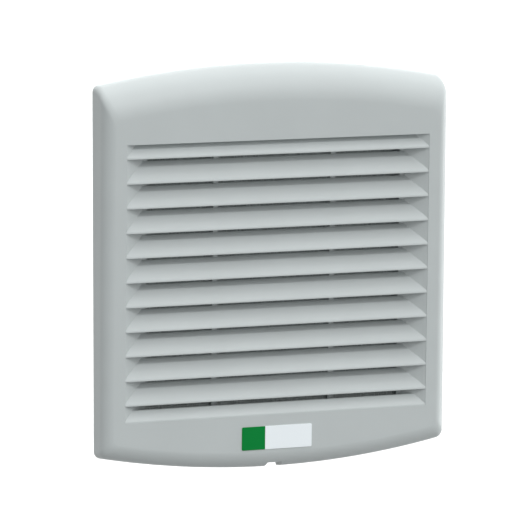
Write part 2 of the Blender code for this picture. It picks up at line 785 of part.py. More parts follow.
def make_gasket(material):
    outside = rounded_square(FLANGE_HALF - GASKET_INSET, FLANGE_CORNER - GASKET_INSET)
    inside = rounded_square(SPIGOT_HALF + SEAT, SPIGOT_CORNER + SEAT)
    rings = [
        [(x, -GASKET_THICKNESS, z) for x, z in outside],
        [(x, 0.0, z) for x, z in outside],
        [(x, 0.0, z) for x, z in inside],
        [(x, -GASKET_THICKNESS, z) for x, z in inside],
    ]
    mesh = weld(loft("panel_gasket", rings + rings[:1], cap_first=False, cap_last=False))
    return add_part("panel_gasket", mesh, material)


# Filter

def make_tray(material):
    """A basket with a barred floor that hangs by its lip on the frame's flange."""
    shape = bmesh.new()
    bmesh.ops.create_grid(shape, x_segments=TRAY_COLUMNS, y_segments=TRAY_ROWS, size=TRAY_INSIDE)
    windows = list(shape.faces)
    bmesh.ops.inset_individual(shape, faces=windows, thickness=TRAY_BAR / 2)
    bmesh.ops.delete(shape, geom=windows, context="FACES")
    for vertex in shape.verts:
        vertex.co = Vector((vertex.co.x, FLOOR_FRONT, vertex.co.y))
    bmesh.ops.recalc_face_normals(shape, faces=shape.faces)
    mesh = bpy.data.meshes.new("filter_tray")
    shape.to_mesh(mesh)
    shape.free()
    tray = add_part("filter_tray", mesh, material)
    floor = tray.modifiers.new("Floor", "SOLIDIFY")
    floor.thickness = TRAY_FLOOR
    floor.offset = -1.0 if mesh.polygons[0].normal.y < 0 else 1.0
    corner = SPIGOT_CORNER - SPIGOT_WALL
    lip = TRAY_HALF + TRAY_SIDE_GAP + TRAY_LIP_WIDTH
    overlap = TRAY_WALL / 2
    profile = [
        (TRAY_HALF, corner, FLOOR_REAR - SEAT),
        (TRAY_HALF, corner, TRAY_LIP_REAR),
        (lip, corner + TRAY_LIP_WIDTH, TRAY_LIP_REAR),
        (lip, corner + TRAY_LIP_WIDTH, TRAY_FRONT),
        (TRAY_INSIDE - SEAT, corner, TRAY_FRONT),
        (TRAY_INSIDE - SEAT, corner, FLOOR_FRONT + SEAT),
        (TRAY_INSIDE - overlap, corner, FLOOR_FRONT + SEAT),
        (TRAY_INSIDE - overlap, corner, FLOOR_REAR - SEAT),
    ]
    rings = [[(x, y, z) for x, z in rounded_square(half, radius)] for half, radius, y in profile]
    rim = weld(loft("tray_rim", rings + rings[:1], cap_first=False, cap_last=False))
    join(tray, "rim", rim)
    return tray


def make_filter_mat(material):
    outline = rounded_square(TRAY_INSIDE - 2 * SEAT, SPIGOT_CORNER - SPIGOT_WALL)
    mesh = loft("filter_mat", along_y(outline, MAT_FRONT, MAT_FRONT + FILTER_THICKNESS))
    return add_part("filter_mat", mesh, material)


# Pawls

def make_pawls(material):
    """Sprung pawls: a lever in the side wall whose wedge grips behind the panel."""
    nose_y = PANEL_THICKNESS + SEAT
    for side, height, place in pawl_places():
        pin_x, pin_y = pawl_pin_centre(side)
        outer = SPIGOT_HALF
        inner = SPIGOT_HALF - PAWL_THICKNESS
        eye = []
        for step in range(9):
            angle = math.radians(PAWL_EYE_START + (180 - PAWL_EYE_START) * step / 8)
            eye.append((abs(pin_x) + PAWL_EYE * math.cos(angle), pin_y + PAWL_EYE * math.sin(angle)))
        outline = [(outer, pin_y - 2 * PAWL_EYE)] + eye + [
            (inner, pin_y - 2 * PAWL_EYE),
            (inner, nose_y),
            (outer + PAWL_PROUD, nose_y),
            (outer + PAWL_PROUD, nose_y + PAWL_PROUD / 2),
            (outer, nose_y + PAWL_RAMP),
        ]
        outline = [(side * (x - abs(pin_x)), y - pin_y) for x, y in outline]
        name = f"pawl_{place}"
        pawl = add_part(name, loft(name, along_z(outline, -PAWL_WIDTH / 2, PAWL_WIDTH / 2)), material)
        pawl.location = (pin_x, pin_y, height)
        cut(pawl, f"eye_{place}", pawl_bore(side, height, place, PAWL_WIDTH / 2 + RUNNING_GAP))


def make_pawl_pins(material):
    """A plain pin through each pawl and its two lugs."""
    reach = pawl_slot_half() + PAWL_LUG
    for side, height, place in pawl_places():
        name = f"pawl_pin_{place}"
        rings = along_z(circle(PAWL_PIN_RADIUS, SMALL_STEPS), -reach, reach)
        pin = add_part(name, loft(name, rings), material)
        pin.location = (*pawl_pin_centre(side), height)


# Fan

def clipped_disc(radius, flats, steps):
    """A round outline whose left and right sides are cut to the flats."""
    limit = flats / 2
    points = []
    corner = math.acos(limit / radius)
    for start in (corner, math.pi + corner):
        for step in range(steps + 1):
            angle = start + (math.pi - 2 * corner) * step / steps
            points.append((radius * math.cos(angle), radius * math.sin(angle)))
    return points


def make_fan_housing(material):
    flange_outline = clipped_disc(FAN_DIAMETER / 2, FAN_FLATS, ROUND_STEPS // 2)
    barrel_outline = clipped_disc(DUCT_RADIUS + DUCT_WALL, FAN_FLATS - 2 * SEAT, ROUND_STEPS // 2)
    mesh = loft("fan_housing", along_y(barrel_outline, FAN_FRONT + FAN_FLANGE / 2, FAN_REAR - FAN_FLANGE / 2))
    housing = add_part("fan_housing", mesh, material)
    front = loft("fan_flange_front", along_y(flange_outline, FAN_FRONT, FAN_FRONT + FAN_FLANGE))
    rear = loft("fan_flange_rear", along_y(flange_outline, FAN_REAR - FAN_FLANGE, FAN_REAR))
    join(housing, "flanges", front, rear)
    cut(housing, "duct", fan_duct())
    join(housing, "spider", *spider())
    bore = disc("bearing_bore", TUBE_BORE, TUBE_FRONT - RUNNING_GAP, MOTOR_BASE_FRONT, SMALL_STEPS * 2)
    cut(housing, "bores", bore, *screw_holes(FAN_FRONT - RUNNING_GAP, FAN_REAR + RUNNING_GAP))
    return housing


def fan_duct():
    """The round way through the housing, flared at both mouths."""
    mouth = FAN_FLATS / 2 - 4 * SEAT
    profile = [
        (mouth, FAN_FRONT - RUNNING_GAP),
        (mouth, FAN_FRONT),
        (DUCT_RADIUS, FAN_FRONT + 2 * DUCT_MOUTH),
        (DUCT_RADIUS, FAN_REAR - 2 * DUCT_MOUTH),
        (mouth, FAN_REAR),
        (mouth, FAN_REAR + RUNNING_GAP),
    ]
    return loft("fan_duct", [[(x, y, z) for x, z in circle(radius, ROUND_STEPS)] for radius, y in profile])


def spider():
    """The motor base, its bearing tube and the struts that carry them at the outlet."""
    base_rear = MOTOR_BASE_FRONT + MOTOR_BASE_THICKNESS
    for index in range(STRUT_COUNT):
        low = (MOTOR_BASE_RADIUS / 2, MOTOR_BASE_FRONT + SEAT, -STRUT_WIDTH / 2)
        high = (DUCT_RADIUS + DUCT_WALL / 3, base_rear - SEAT, STRUT_WIDTH / 2)
        strut = box(f"strut_{index + 1}", low, high)
        strut.transform(Matrix.Rotation(2 * math.pi * (index + 0.5) / STRUT_COUNT, 4, "Y"))
        yield strut
    yield disc("motor_base", MOTOR_BASE_RADIUS, MOTOR_BASE_FRONT, base_rear, ROUND_STEPS)
    yield disc("bearing_tube", TUBE_RADIUS, TUBE_FRONT, base_rear - SEAT, SMALL_STEPS * 2)


def ring_profile(inner, outer, low, high):
    return [(outer, high), (outer, low), (inner, low), (inner, high)]


def make_stator(steel, copper):
    core_front = MOTOR_BASE_FRONT - RUNNING_GAP - COIL_LENGTH - SEAT - STATOR_LENGTH
    core_rear = core_front + STATOR_LENGTH
    bore = TUBE_RADIUS + SEAT
    core = turned("stator_core", ring_profile(bore, STATOR_RADIUS, core_front, core_rear), steel)
    slots = []
    for index in range(STATOR_SLOTS):
        low = (STATOR_RADIUS - STATOR_SLOT_DEPTH, core_front - RUNNING_GAP, -STATOR_SLOT_WIDTH / 2)
        high = (STATOR_RADIUS + RUNNING_GAP, core_rear + RUNNING_GAP, STATOR_SLOT_WIDTH / 2)
        slot = box(f"stator_slot_{index + 1}", low, high)
        slot.transform(Matrix.Rotation(2 * math.pi * index / STATOR_SLOTS, 4, "Y"))
        slots.append(slot)
    cut(core, "slots", *slots)
    coil_outer = STATOR_RADIUS - 2 * RUNNING_GAP
    coil_inner = bore + 2 * RUNNING_GAP
    turned(
        "winding_front",
        ring_profile(coil_inner, coil_outer, core_front - SEAT - COIL_LENGTH, core_front - SEAT),
        copper,
        ROUND_STEPS // 2,
    )
    turned(
        "winding_rear",
        ring_profile(coil_inner, coil_outer, core_rear + SEAT, core_rear + SEAT + COIL_LENGTH),
        copper,
        ROUND_STEPS // 2,
    )
    return core_front, core_rear


def make_bearings(steel):
    front = TUBE_FRONT + RUNNING_GAP
    rear = MOTOR_BASE_FRONT - SEAT
    for name, low in (("bearing_front", front), ("bearing_rear", rear - BEARING_LENGTH)):
        profile = ring_profile(BEARING_BORE, BEARING_RADIUS, low, low + BEARING_LENGTH)
        turned(name, profile, steel, ROUND_STEPS // 2)


def make_rotor(steel, cage_metal, core_front, core_rear):
    """The steel cup with its shaft boss, the cage ring inside it and the shaft."""
    boss = SHAFT_RADIUS + SEAT + CUP_WALL
    inside = CUP_RADIUS - CUP_WALL
    profile = [
        (CUP_RADIUS, CUP_REAR),
        (CUP_RADIUS, CUP_FRONT + CUP_ROUND),
        (CUP_RADIUS - CUP_ROUND * FILLET_MIDDLE, CUP_FRONT + CUP_ROUND * FILLET_MIDDLE),
        (CUP_RADIUS - CUP_ROUND, CUP_FRONT),
        (SHAFT_RADIUS + SEAT, CUP_FRONT),
        (SHAFT_RADIUS + SEAT, CUP_FRONT + CUP_WALL + SHAFT_BOSS),
        (boss, CUP_FRONT + CUP_WALL + SHAFT_BOSS),
        (boss, CUP_FRONT + CUP_WALL),
        (inside - CUP_ROUND / 2, CUP_FRONT + CUP_WALL),
        (inside, CUP_FRONT + CUP_WALL + CUP_ROUND / 2),
        (inside, CUP_REAR),
    ]
    turned("rotor_cup", profile, steel)
    cage_outer = inside - SEAT
    cage = ring_profile(cage_outer - CAGE_WALL, cage_outer, core_front, core_rear)
    turned("rotor_cage", cage, cage_metal, ROUND_STEPS // 2)
    shaft = disc("motor_shaft", SHAFT_RADIUS, CUP_FRONT - SEAT, MOTOR_BASE_FRONT - SEAT, SMALL_STEPS)
    add_part("motor_shaft", shaft, steel)


def blade_section(radius, share):
    """A cambered section wrapped on a cylinder of the given radius."""
    pitch = math.radians(BLADE_PITCH_HUB + (BLADE_PITCH_TIP - BLADE_PITCH_HUB) * share)
    lead = math.radians(BLADE_SWEEP) * share ** 1.5
    middle = (CUP_FRONT + CUP_REAR) / 2
    upper, lower = [], []
    for step in range(5):
        along = (step / 4 - 0.5) * BLADE_CHORD
        bow = BLADE_CAMBER * (1 - (2 * step / 4 - 1) ** 2)
        half = (BLADE_EDGE + (BLADE_THICKNESS - BLADE_EDGE) * math.sin(math.pi * step / 4)) / 2
        upper.append((along, bow + half))
        lower.append((along, bow - half))
    section = []
    for along, rise in upper + lower[::-1]:
        turn = (along * math.cos(pitch) - rise * math.sin(pitch)) / radius + lead
        y = middle + along * math.sin(pitch) + rise * math.cos(pitch)
        section.append((radius * math.cos(turn), y, radius * math.sin(turn)))
    return section


def make_impeller(material):
    inner = CUP_RADIUS + SEAT
    hub_front = CUP_FRONT + CUP_ROUND
    hub = turned("impeller", ring_profile(inner, HUB_RADIUS, hub_front, CUP_REAR - SEAT), material)
    tip = DUCT_RADIUS - RUNNING_GAP
    root = inner + HUB_WALL / 2
    shares = (0.0, 0.35, 0.7, 1.0)
    blades = []
    for index in range(BLADE_COUNT):
        rings = [blade_section(root + (tip - root) * share, share) for share in shares]
        blade = loft(f"blade_{index + 1}", rings)
        blade.transform(Matrix.Rotation(2 * math.pi * index / BLADE_COUNT, 4, "Y"))
        blades.append(blade)
    join(hub, "blades", *blades)
    return hub


def tube_mesh(name, points, radius, cyclic):
    """A round wire through the points, as a closed mesh."""
    curve = bpy.data.curves.new(name, "CURVE")
    curve.dimensions = "3D"
    curve.bevel_depth = radius
    curve.bevel_resolution = 1
    curve.use_fill_caps = not cyclic
    spline = curve.splines.new("POLY")
    spline.points.add(len(points) - 1)
    for target, point in zip(spline.points, points):
        target.co = (*point, 1.0)
    spline.use_cyclic_u = cyclic
    guide = bpy.data.objects.new(name, curve)
    CUTTERS.objects.link(guide)
    bpy.context.view_layer.update()
    graph = bpy.context.evaluated_depsgraph_get()
    mesh = bpy.data.meshes.new_from_object(guide.evaluated_get(graph))
    bpy.data.objects.remove(guide)
    bpy.data.curves.remove(curve)
    return weld(mesh)


def make_finger_guard(material):
    """Wire rings carried by four spokes, each ending in an eye at its screw."""
    wire = GUARD_WIRE / 2
    spoke_y = FAN_REAR + SEAT + wire
    ring_y = spoke_y + GUARD_WIRE - GUARD_WELD
    eye = SCREW_RADIUS + SEAT + wire
    spokes, rings = [], []
    for x, z in screw_places():
        reach = math.hypot(x, z)
        start = (GUARD_INNER_RADIUS - wire) / reach
        end = (reach - eye) / reach
        points = [(x * start, spoke_y, z * start), (x * end, spoke_y, z * end)]
        spokes.append(tube_mesh("guard_spoke", points, wire, False))
        ring = [(px, spoke_y, pz) for px, pz in circle(eye, 10, (x, z))]
        rings.append(tube_mesh("guard_eye", ring, wire, True))
    for index in range(GUARD_RINGS):
        radius = GUARD_INNER_RADIUS + index * GUARD_PITCH
        steps = WIRE_STEPS + index * WIRE_STEPS_PER_RING
        ring = [(px, ring_y, pz) for px, pz in circle(radius, steps)]
        rings.append(tube_mesh("guard_ring", ring, wire, True))
    guard = add_part("finger_guard", spokes[0], material)
    join(guard, "wires", *spokes[1:], *rings)
    return guard


# Fasteners and terminals

def add_screws(word, head_low, tip, material):
    """Four pan-head screws along Y, each its own piece."""
    for index, centre in enumerate(screw_places()):
        profile = (
            (SCREW_RADIUS, tip),
            (SCREW_RADIUS, head_low),
            (SCREW_HEAD_RADIUS, head_low),
            (SCREW_CROWN_RADIUS, head_low + SCREW_HEAD),
        )
        rings = []
        for radius, y in profile:
            rings.append([(x, y, z) for x, z in circle(radius, SMALL_STEPS, centre)])
        name = f"{word}_{index + 1}"
        add_part(name, loft(name, rings), material)


def make_fan_screws(material):
    add_screws("fan_screw", FAN_FRONT + FAN_FLANGE + SEAT, TAPER_END - RUNNING_GAP, material)


def make_guard_screws(material):
    head_low = FAN_REAR + SEAT + GUARD_WIRE + SEAT
    add_screws("guard_screw", head_low, FAN_REAR - FAN_FLANGE - RUNNING_GAP, material)


def terminal_box():
    """The terminal block's corners, beside the fan's flat side."""
    low_x = FAN_FLATS / 2 + 2 * RUNNING_GAP
    low = (low_x, BACK_REAR + SEAT, -TERMINAL_LENGTH / 2)
    high = (low_x + TERMINAL_WIDTH, BACK_REAR + SEAT + TERMINAL_HEIGHT, TERMINAL_LENGTH / 2)
    return low, high


def pole_heights():
    pitch = TERMINAL_LENGTH / TERMINAL_POLES
    for index in range(TERMINAL_POLES):
        yield (index - (TERMINAL_POLES - 1) / 2) * pitch


def make_terminal_block(material):
    low, high = terminal_box()
    block = add_part("terminal_block", box("terminal_block", low, high), material)
    middle_x = (low[0] + high[0]) / 2
    entry_y = low[1] + TERMINAL_HEIGHT / 3
    half = TERMINAL_ENTRY / 2
    radius = TERMINAL_SCREW_RADIUS + SEAT
    tools = []
    for height in pole_heights():
        centre = (middle_x, height)
        well_floor = high[1] - TERMINAL_HEIGHT / 3
        tools.append(disc("terminal_well", radius, well_floor, high[1] + RUNNING_GAP, centre=centre))
        entry_low = (high[0] - TERMINAL_WIDTH / 2, entry_y - half, height - half)
        entry_high = (high[0] + RUNNING_GAP, entry_y + half, height + half)
        tools.append(box("terminal_entry", entry_low, entry_high))
    cut(block, "wells_and_entries", *tools)
    return block


def make_terminal_screws(material):
    low, high = terminal_box()
    middle_x = (low[0] + high[0]) / 2
    bottom = high[1] - TERMINAL_HEIGHT / 3 + SEAT
    for index, height in enumerate(pole_heights()):
        name = f"terminal_screw_{index + 1}"
        screw = disc(name, TERMINAL_SCREW_RADIUS, bottom, bottom + SCREW_HEAD, centre=(middle_x, height))
        add_part(name, screw, material)


def clamp_centre():
    low, high = terminal_box()
    return (low[0] + high[0]) / 2, low[2] - CLAMP_GAP - CLAMP_LENGTH / 2


def clamp_screw_places():
    middle_x, middle_z = clamp_centre()
    offset = CLAMP_CABLE_RADIUS + CLAMP_WALL + CLAMP_FOOT / 2
    return [(middle_x - offset, middle_z), (middle_x + offset, middle_z)]


def clamp_screw_holes(low, high):
    radius = CLAMP_SCREW_RADIUS + SEAT
    return [disc("clamp_screw_hole", radius, low, high, centre=centre) for centre in clamp_screw_places()]


def make_cable_clamp(material):
    """A saddle for the supply lead, its feet on the back plate."""
    middle_x, middle_z = clamp_centre()
    floor = BACK_REAR + SEAT
    inner = CLAMP_CABLE_RADIUS
    outer = inner + CLAMP_WALL
    reach = outer + CLAMP_FOOT
    arch = [math.pi * step / 8 for step in range(9)]
    outline = [(middle_x + reach, floor), (middle_x + reach, floor + CLAMP_WALL)]
    foot = floor + CLAMP_WALL
    outline += [(middle_x + outer * math.cos(a), foot + outer * math.sin(a)) for a in arch]
    outline += [(middle_x - reach, foot), (middle_x - reach, floor)]
    outline += [(middle_x - inner * math.cos(a), floor + (inner + CLAMP_WALL) * math.sin(a)) for a in arch]
    rings = along_z(outline, middle_z - CLAMP_LENGTH / 2, middle_z + CLAMP_LENGTH / 2)
    clamp = add_part("cable_clamp", loft("cable_clamp", rings), material)
    cut(clamp, "holes", *clamp_screw_holes(floor - RUNNING_GAP, foot + RUNNING_GAP))
    return clamp


def make_clamp_screws(material):
    """The two screws that hold the clamp's feet on the back plate."""
    head_low = BACK_REAR + SEAT + CLAMP_WALL + SEAT
    profile = (
        (CLAMP_SCREW_RADIUS, BACK_REAR - CLAMP_SCREW_BITE),
        (CLAMP_SCREW_RADIUS, head_low),
        (CLAMP_SCREW_HEAD_RADIUS, head_low),
        (CLAMP_SCREW_HEAD_RADIUS, head_low + CLAMP_SCREW_HEAD),
    )
    for index, centre in enumerate(clamp_screw_places()):
        name = f"clamp_screw_{index + 1}"
        rings = [[(x, y, z) for x, z in circle(radius, SMALL_STEPS, centre)] for radius, y in profile]
        add_part(name, loft(name, rings), material)


def build():
    light_grey = new_material("light_grey_plastic", (0.46, 0.5, 0.5), 0.45)
    frame_grey = new_material("frame_grey_plastic", (0.4, 0.43, 0.43), 0.5)
    foam = new_material("gasket_foam", (0.03, 0.03, 0.032), 0.9)
    fleece = new_material("filter_fleece", (0.75, 0.75, 0.72), 0.95)
    black_metal = new_material("black_housing", (0.02, 0.02, 0.022), 0.5)
    black_plastic = new_material("black_impeller", (0.025, 0.025, 0.028), 0.45)
    steel = new_material("zinc_steel", (0.6, 0.6, 0.58), 0.35, 1.0)
    copper = new_material("winding_copper", (0.55, 0.22, 0.1), 0.4, 1.0)
    aluminium = new_material("cage_aluminium", (0.7, 0.7, 0.72), 0.4, 1.0)
    white_plastic = new_material("terminal_white", (0.75, 0.75, 0.72), 0.5)
    pawl_plastic = new_material("pawl_plastic", (0.35, 0.37, 0.37), 0.5)
    make_cover(light_grey)
    make_base_frame(frame_grey)
    make_gasket(foam)
    make_tray(frame_grey)
    make_filter_mat(fleece)
    make_pawls(pawl_plastic)
    make_pawl_pins(steel)
    make_fan_housing(black_metal)
    core_front, core_rear = make_stator(steel, copper)
    make_bearings(steel)
    make_rotor(steel, aluminium, core_front, core_rear)
    make_impeller(black_plastic)
    make_finger_guard(steel)
    make_fan_screws(steel)
    make_guard_screws(steel)
    make_terminal_block(white_plastic)
    make_terminal_screws(steel)
    make_cable_clamp(white_plastic)
    make_clamp_screws(steel)


clear_scene()
PARTS = new_collection("cabinet_filter_fan")
CUTTERS = new_collection("cutters")
build()
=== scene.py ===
# Cabinet filter fan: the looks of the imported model.
#
# Lengths are metres in the model's own frame: X runs across, Z is up, the
# louvred front faces -Y, and y = 0 is the outer face of the cabinet panel.

import json
import math

import bmesh
import bpy
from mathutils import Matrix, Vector

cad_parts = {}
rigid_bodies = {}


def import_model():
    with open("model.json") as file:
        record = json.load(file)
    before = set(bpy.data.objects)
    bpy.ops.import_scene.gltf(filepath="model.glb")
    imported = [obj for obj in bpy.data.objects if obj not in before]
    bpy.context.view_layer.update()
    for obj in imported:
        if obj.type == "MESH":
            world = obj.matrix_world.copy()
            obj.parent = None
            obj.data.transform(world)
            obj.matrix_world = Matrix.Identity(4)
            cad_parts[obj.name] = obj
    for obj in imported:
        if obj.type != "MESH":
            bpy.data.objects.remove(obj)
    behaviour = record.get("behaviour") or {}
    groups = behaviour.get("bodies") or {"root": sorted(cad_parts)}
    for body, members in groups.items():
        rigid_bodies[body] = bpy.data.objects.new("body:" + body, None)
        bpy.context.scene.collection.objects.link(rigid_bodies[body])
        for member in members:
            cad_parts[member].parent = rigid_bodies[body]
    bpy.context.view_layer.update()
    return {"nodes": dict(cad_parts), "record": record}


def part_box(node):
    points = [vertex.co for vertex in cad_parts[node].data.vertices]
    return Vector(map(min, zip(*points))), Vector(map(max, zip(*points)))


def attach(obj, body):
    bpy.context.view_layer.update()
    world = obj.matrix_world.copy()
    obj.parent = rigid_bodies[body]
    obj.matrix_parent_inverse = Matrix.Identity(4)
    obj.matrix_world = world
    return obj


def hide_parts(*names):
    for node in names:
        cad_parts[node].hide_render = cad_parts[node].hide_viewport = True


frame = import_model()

NODES = frame["nodes"]

# Cover outline and edges
COVER_WIDTH = 0.248
COVER_HEIGHT = 0.268
TOP_ARCH_RADIUS = 0.6262
BOTTOM_ARCH_RADIUS = 0.614
COVER_CORNER = 0.005
COVER_REAR_GAP = 0.0015
COVER_DEPTH = 0.0182
FRONT_LEAN = 0.029
TOP_ROLL = 0.0246
SIDE_DRAFT = 0.0009
BOTTOM_DRAFT = 0.0016
BOTTOM_TRIM = 0.00008
SIDE_FILLET = 0.0078
BOTTOM_FILLET = 0.0102
COVER_WALL = 0.0025
RUNNING_GAP = 0.001

# Louvres
SLAT_COUNT = 11
SLAT_PITCH = 0.01615
FIRST_SLAT_EDGE = 0.0747
VENT_WIDTH = 0.2164
VENT_DEPTH = 0.0083
SLAT_GAP = 0.0021
SLAT_WALL = 0.0016
SLAT_LIP = 0.0012
SLAT_BEND = 0.0003
SLAT_STEP_BIAS = 1.4
SLAT_SETBACK = 0.0001
TOP_RECESS = 0.0094
SILL_DROP = 0.0012
BOTTOM_RECESS = 0.0115
END_STEEP = ((0.0012, 0.001), (0.0026, 0.002), (0.0042, 0.0029))
END_SLANT = 0.0144
END_BLOCK = 0.0176
RIB_SPACING = 0.084
RIB_WIDTH = 0.0035
RIB_DEPTH = 0.0018

# Release notch
NOTCH_WIDTH = 0.0117
NOTCH_TOP_WIDTH = 0.0102
NOTCH_DEPTH = 0.0023

# Hinge pins and snap ledges behind the cover
HINGE_Y = -0.008
HINGE_DROP = 0.005
HINGE_SPACING = 0.072
HINGE_PIN_RADIUS = 0.0015
HINGE_PIN_LENGTH = 0.014
HINGE_CHEEK = 0.003
CHEEK_WALL = 0.0015
CHEEK_START = 200.0
CATCH_SPACING = 0.064
CATCH_WIDTH = 0.012
CATCH_WALL = 0.002
CATCH_NOSE = 0.001
FLANGE_FRONT = -0.0055

# Bare plate below the louvres
PLATE_WIDTH = 0.0502
PLATE_HEIGHT = 0.0154
PLATE_TOP = -0.1052
PLATE_FIELD = 0.0166
PLATE_PROUD = 0.0004
PLATE_SUNK = 0.0003
PLATE_CORNER = 0.0009
PLATE_SPLIT_CORNER = 0.000045
PLATE_EDGE = PLATE_PROUD / 3
PLATE_EDGE_ANGLE = 50.0

# Filter mat
MAT_STEPS = 64
MAT_EDGE = 0.005
MAT_PULL = 0.0007
MAT_WAVE = 0.0003
MAT_BUNCHING = 0.35
MAT_RIM = 0.35
MAT_SHOULDER = 0.8
MAT_SEAM = 1e-9
LONG_SWELL = (38.0, 31.0, 1.3)
LONG_SWELL_SHARE = 0.65
SHORT_SWELL = (171.0, 53.0, 139.0, 47.0)
SHORT_SWELL_SHARE = 0.35

# Finger guard
GUARD_WIRE = 0.0022
GUARD_SPOKE_Y = 0.0967
GUARD_RING_Y = 0.09845
GUARD_RINGS = 5
GUARD_INNER_RADIUS = 0.016
GUARD_PITCH = 0.0142
GUARD_EYE = 0.0034
GUARD_REACH = 0.081
GUARD_TURNS = (30.0, 150.0, 210.0, 330.0)
GUARD_EYE_STEPS = 32
GUARD_RING_STEPS = 48
GUARD_RING_MORE_STEPS = 16

# Fineness and smoothing
ROLL_STEPS = 30
CORNER_STEPS = 10
TOP_ARCH_STEPS = 56
BOTTOM_ARCH_STEPS = 56
SECTION_STEPS = 18
PIN_STEPS = 24
WIRE_STEPS = 12
PLATE_CORNER_STEPS = 6
COVER_SMOOTH_ANGLE = 24.0
PLATE_SMOOTH_ANGLE = 40.0
GUARD_SMOOTH_ANGLE = 50.0
FLAT_FACE_WEIGHT = 80
NODE_SMOOTH_ANGLE = 26.0
NODE_WELD = 0.000002

# Surfaces
EDGE_BREAK = 0.0003
EDGE_SAMPLES = 4
CLOUD_SCALE = 30.0
GRAIN_SCALE = 9000.0
GRAIN_DETAIL = 3.0
GRAIN_HEIGHT = 0.000012
GRAIN_ROUGHNESS = 0.06
FINE_GRAIN_SCALE = 6000.0
FINE_GRAIN_HEIGHT = 0.000004
FIBRE_SCALE = 900.0
FIBRE_DETAIL = 6.0
FIBRE_STRETCH = 0.15
FIBRE_HEIGHT = 0.0012
FIBRE_SPREAD = 0.18
FIBRE_ROUGHNESS = 0.95
FIBRE_SHEEN = 0.2
PORE_SCALE = 1400.0
PORE_HEIGHT = 0.0002
PORE_SPREAD = 0.35
PORE_ROUGHNESS = 0.9
MARK_SCALE = 1200.0
MARK_DETAIL = 4.0
MARK_HEIGHT = 0.00001
MARK_SPREAD = 0.08
MARK_POLISH = 0.1
MARK_DULLING = 0.12
PEEL_SCALE = 1800.0
PEEL_HEIGHT = 0.00006
PEEL_SPREAD = 0.15
PEEL_POLISH = 0.08
PEEL_DULLING = 0.1
BAND_SCALE = 0.314
BAND_DISTORTION = 0.3
BAND_SPREAD = 0.3

COVER_FRONT = COVER_REAR_GAP + COVER_DEPTH
VENT_HALF = VENT_WIDTH / 2
SLAT_RISE = SLAT_PITCH - SLAT_GAP
LAST_SLAT_EDGE = FIRST_SLAT_EDGE - (SLAT_COUNT - 1) * SLAT_PITCH
VENT_TOP = FIRST_SLAT_EDGE + TOP_RECESS
VENT_BOTTOM = LAST_SLAT_EDGE - BOTTOM_RECESS
HINGE_Z = COVER_HEIGHT / 2 - HINGE_DROP

# Camera: picture size, pixels to a metre and the object's middle in pixels, then the camera's place
PICTURE_SIZE = 510
PICTURE_SCALE = 1518.0
PICTURE_CENTRE = (267.53, 264.27)
CAMERA_DISTANCE = 3.468
CAMERA_AZIMUTH = -24.0
CAMERA_ELEVATION = 6.42
SENSOR = 36.0

# Light: each lamp's direction from the object, strength and angular size
WORLD_HORIZON = 0.0
WORLD_ZENITH = 1.56
LAMPS = (
    ("key", (0.3, -1.0, 0.85), 0.69, 4.0),
    ("fill", (0.2, -1.0, 0.15), 0.78, 60.0),
    ("top", (0.05, 0.05, 1.0), 1.0, 60.0),
    ("rear", (0.25, 1.0, 0.4), 1.2, 40.0),
    ("side_front", (0.98, -0.17, 0.1), 0.4, 30.0),
    ("side_rear", (0.998, 0.07, 0.05), 1.28, 10.0),
)

# Floor
FLOOR_HALF = 8.0
FLOOR_HEIGHT = -0.35
FLOOR_SEEN = (0.75, 0.75, 0.75)
FLOOR_BOUNCE = (0.25, 0.25, 0.25)
FLOOR_GRAIN_SCALE = 40.0
FLOOR_GRAIN_SPREAD = 0.004
FLOOR_ROUGHNESS = 0.9


# Meshes

def finish_mesh(name, shape):
    """Turn a shape's faces outward and make it a mesh."""
    bmesh.ops.recalc_face_normals(shape, faces=shape.faces)
    mesh = bpy.data.meshes.new(name)
    shape.to_mesh(mesh)
    shape.free()
    return mesh


def loft(name, rings):
    """Skin a row of rings that have as many points each, closed at both ends."""
    shape = bmesh.new()
    rows = [[shape.verts.new(point) for point in ring] for ring in rings]
    count = len(rings[0])
    for lower, upper in zip(rows, rows[1:]):
        for index in range(count):
            following = (index + 1) % count
            shape.faces.new((lower[index], lower[following], upper[following], upper[index]))
    shape.faces.new(rows[0])
    shape.faces.new(rows[-1])
    return finish_mesh(name, shape)


def box(name, low, high):
    """A box between two corners."""
    shape = bmesh.new()
    bmesh.ops.create_cube(shape, size=1.0)
    size = [b - a for a, b in zip(low, high)]
    centre = [(a + b) / 2 for a, b in zip(low, high)]
    bmesh.ops.scale(shape, vec=size, verts=shape.verts)
    bmesh.ops.translate(shape, vec=centre, verts=shape.verts)
    return finish_mesh(name, shape)


def along_x(outline, low, high):
    return [[(x, y, z) for y, z in outline] for x in (low, high)]


def along_y(outline, low, high):
    return [[(x, y, z) for x, z in outline] for y in (low, high)]


def along_z(outline, low, high):
    return [[(x, y, z) for x, y in outline] for z in (low, high)]


def add_piece(name, mesh, material):
    """Put a mesh in the scene with one material."""
    piece = bpy.data.objects.new(name, mesh)
    bpy.context.scene.collection.objects.link(piece)
    mesh.materials.clear()
    mesh.materials.append(material)
    return piece


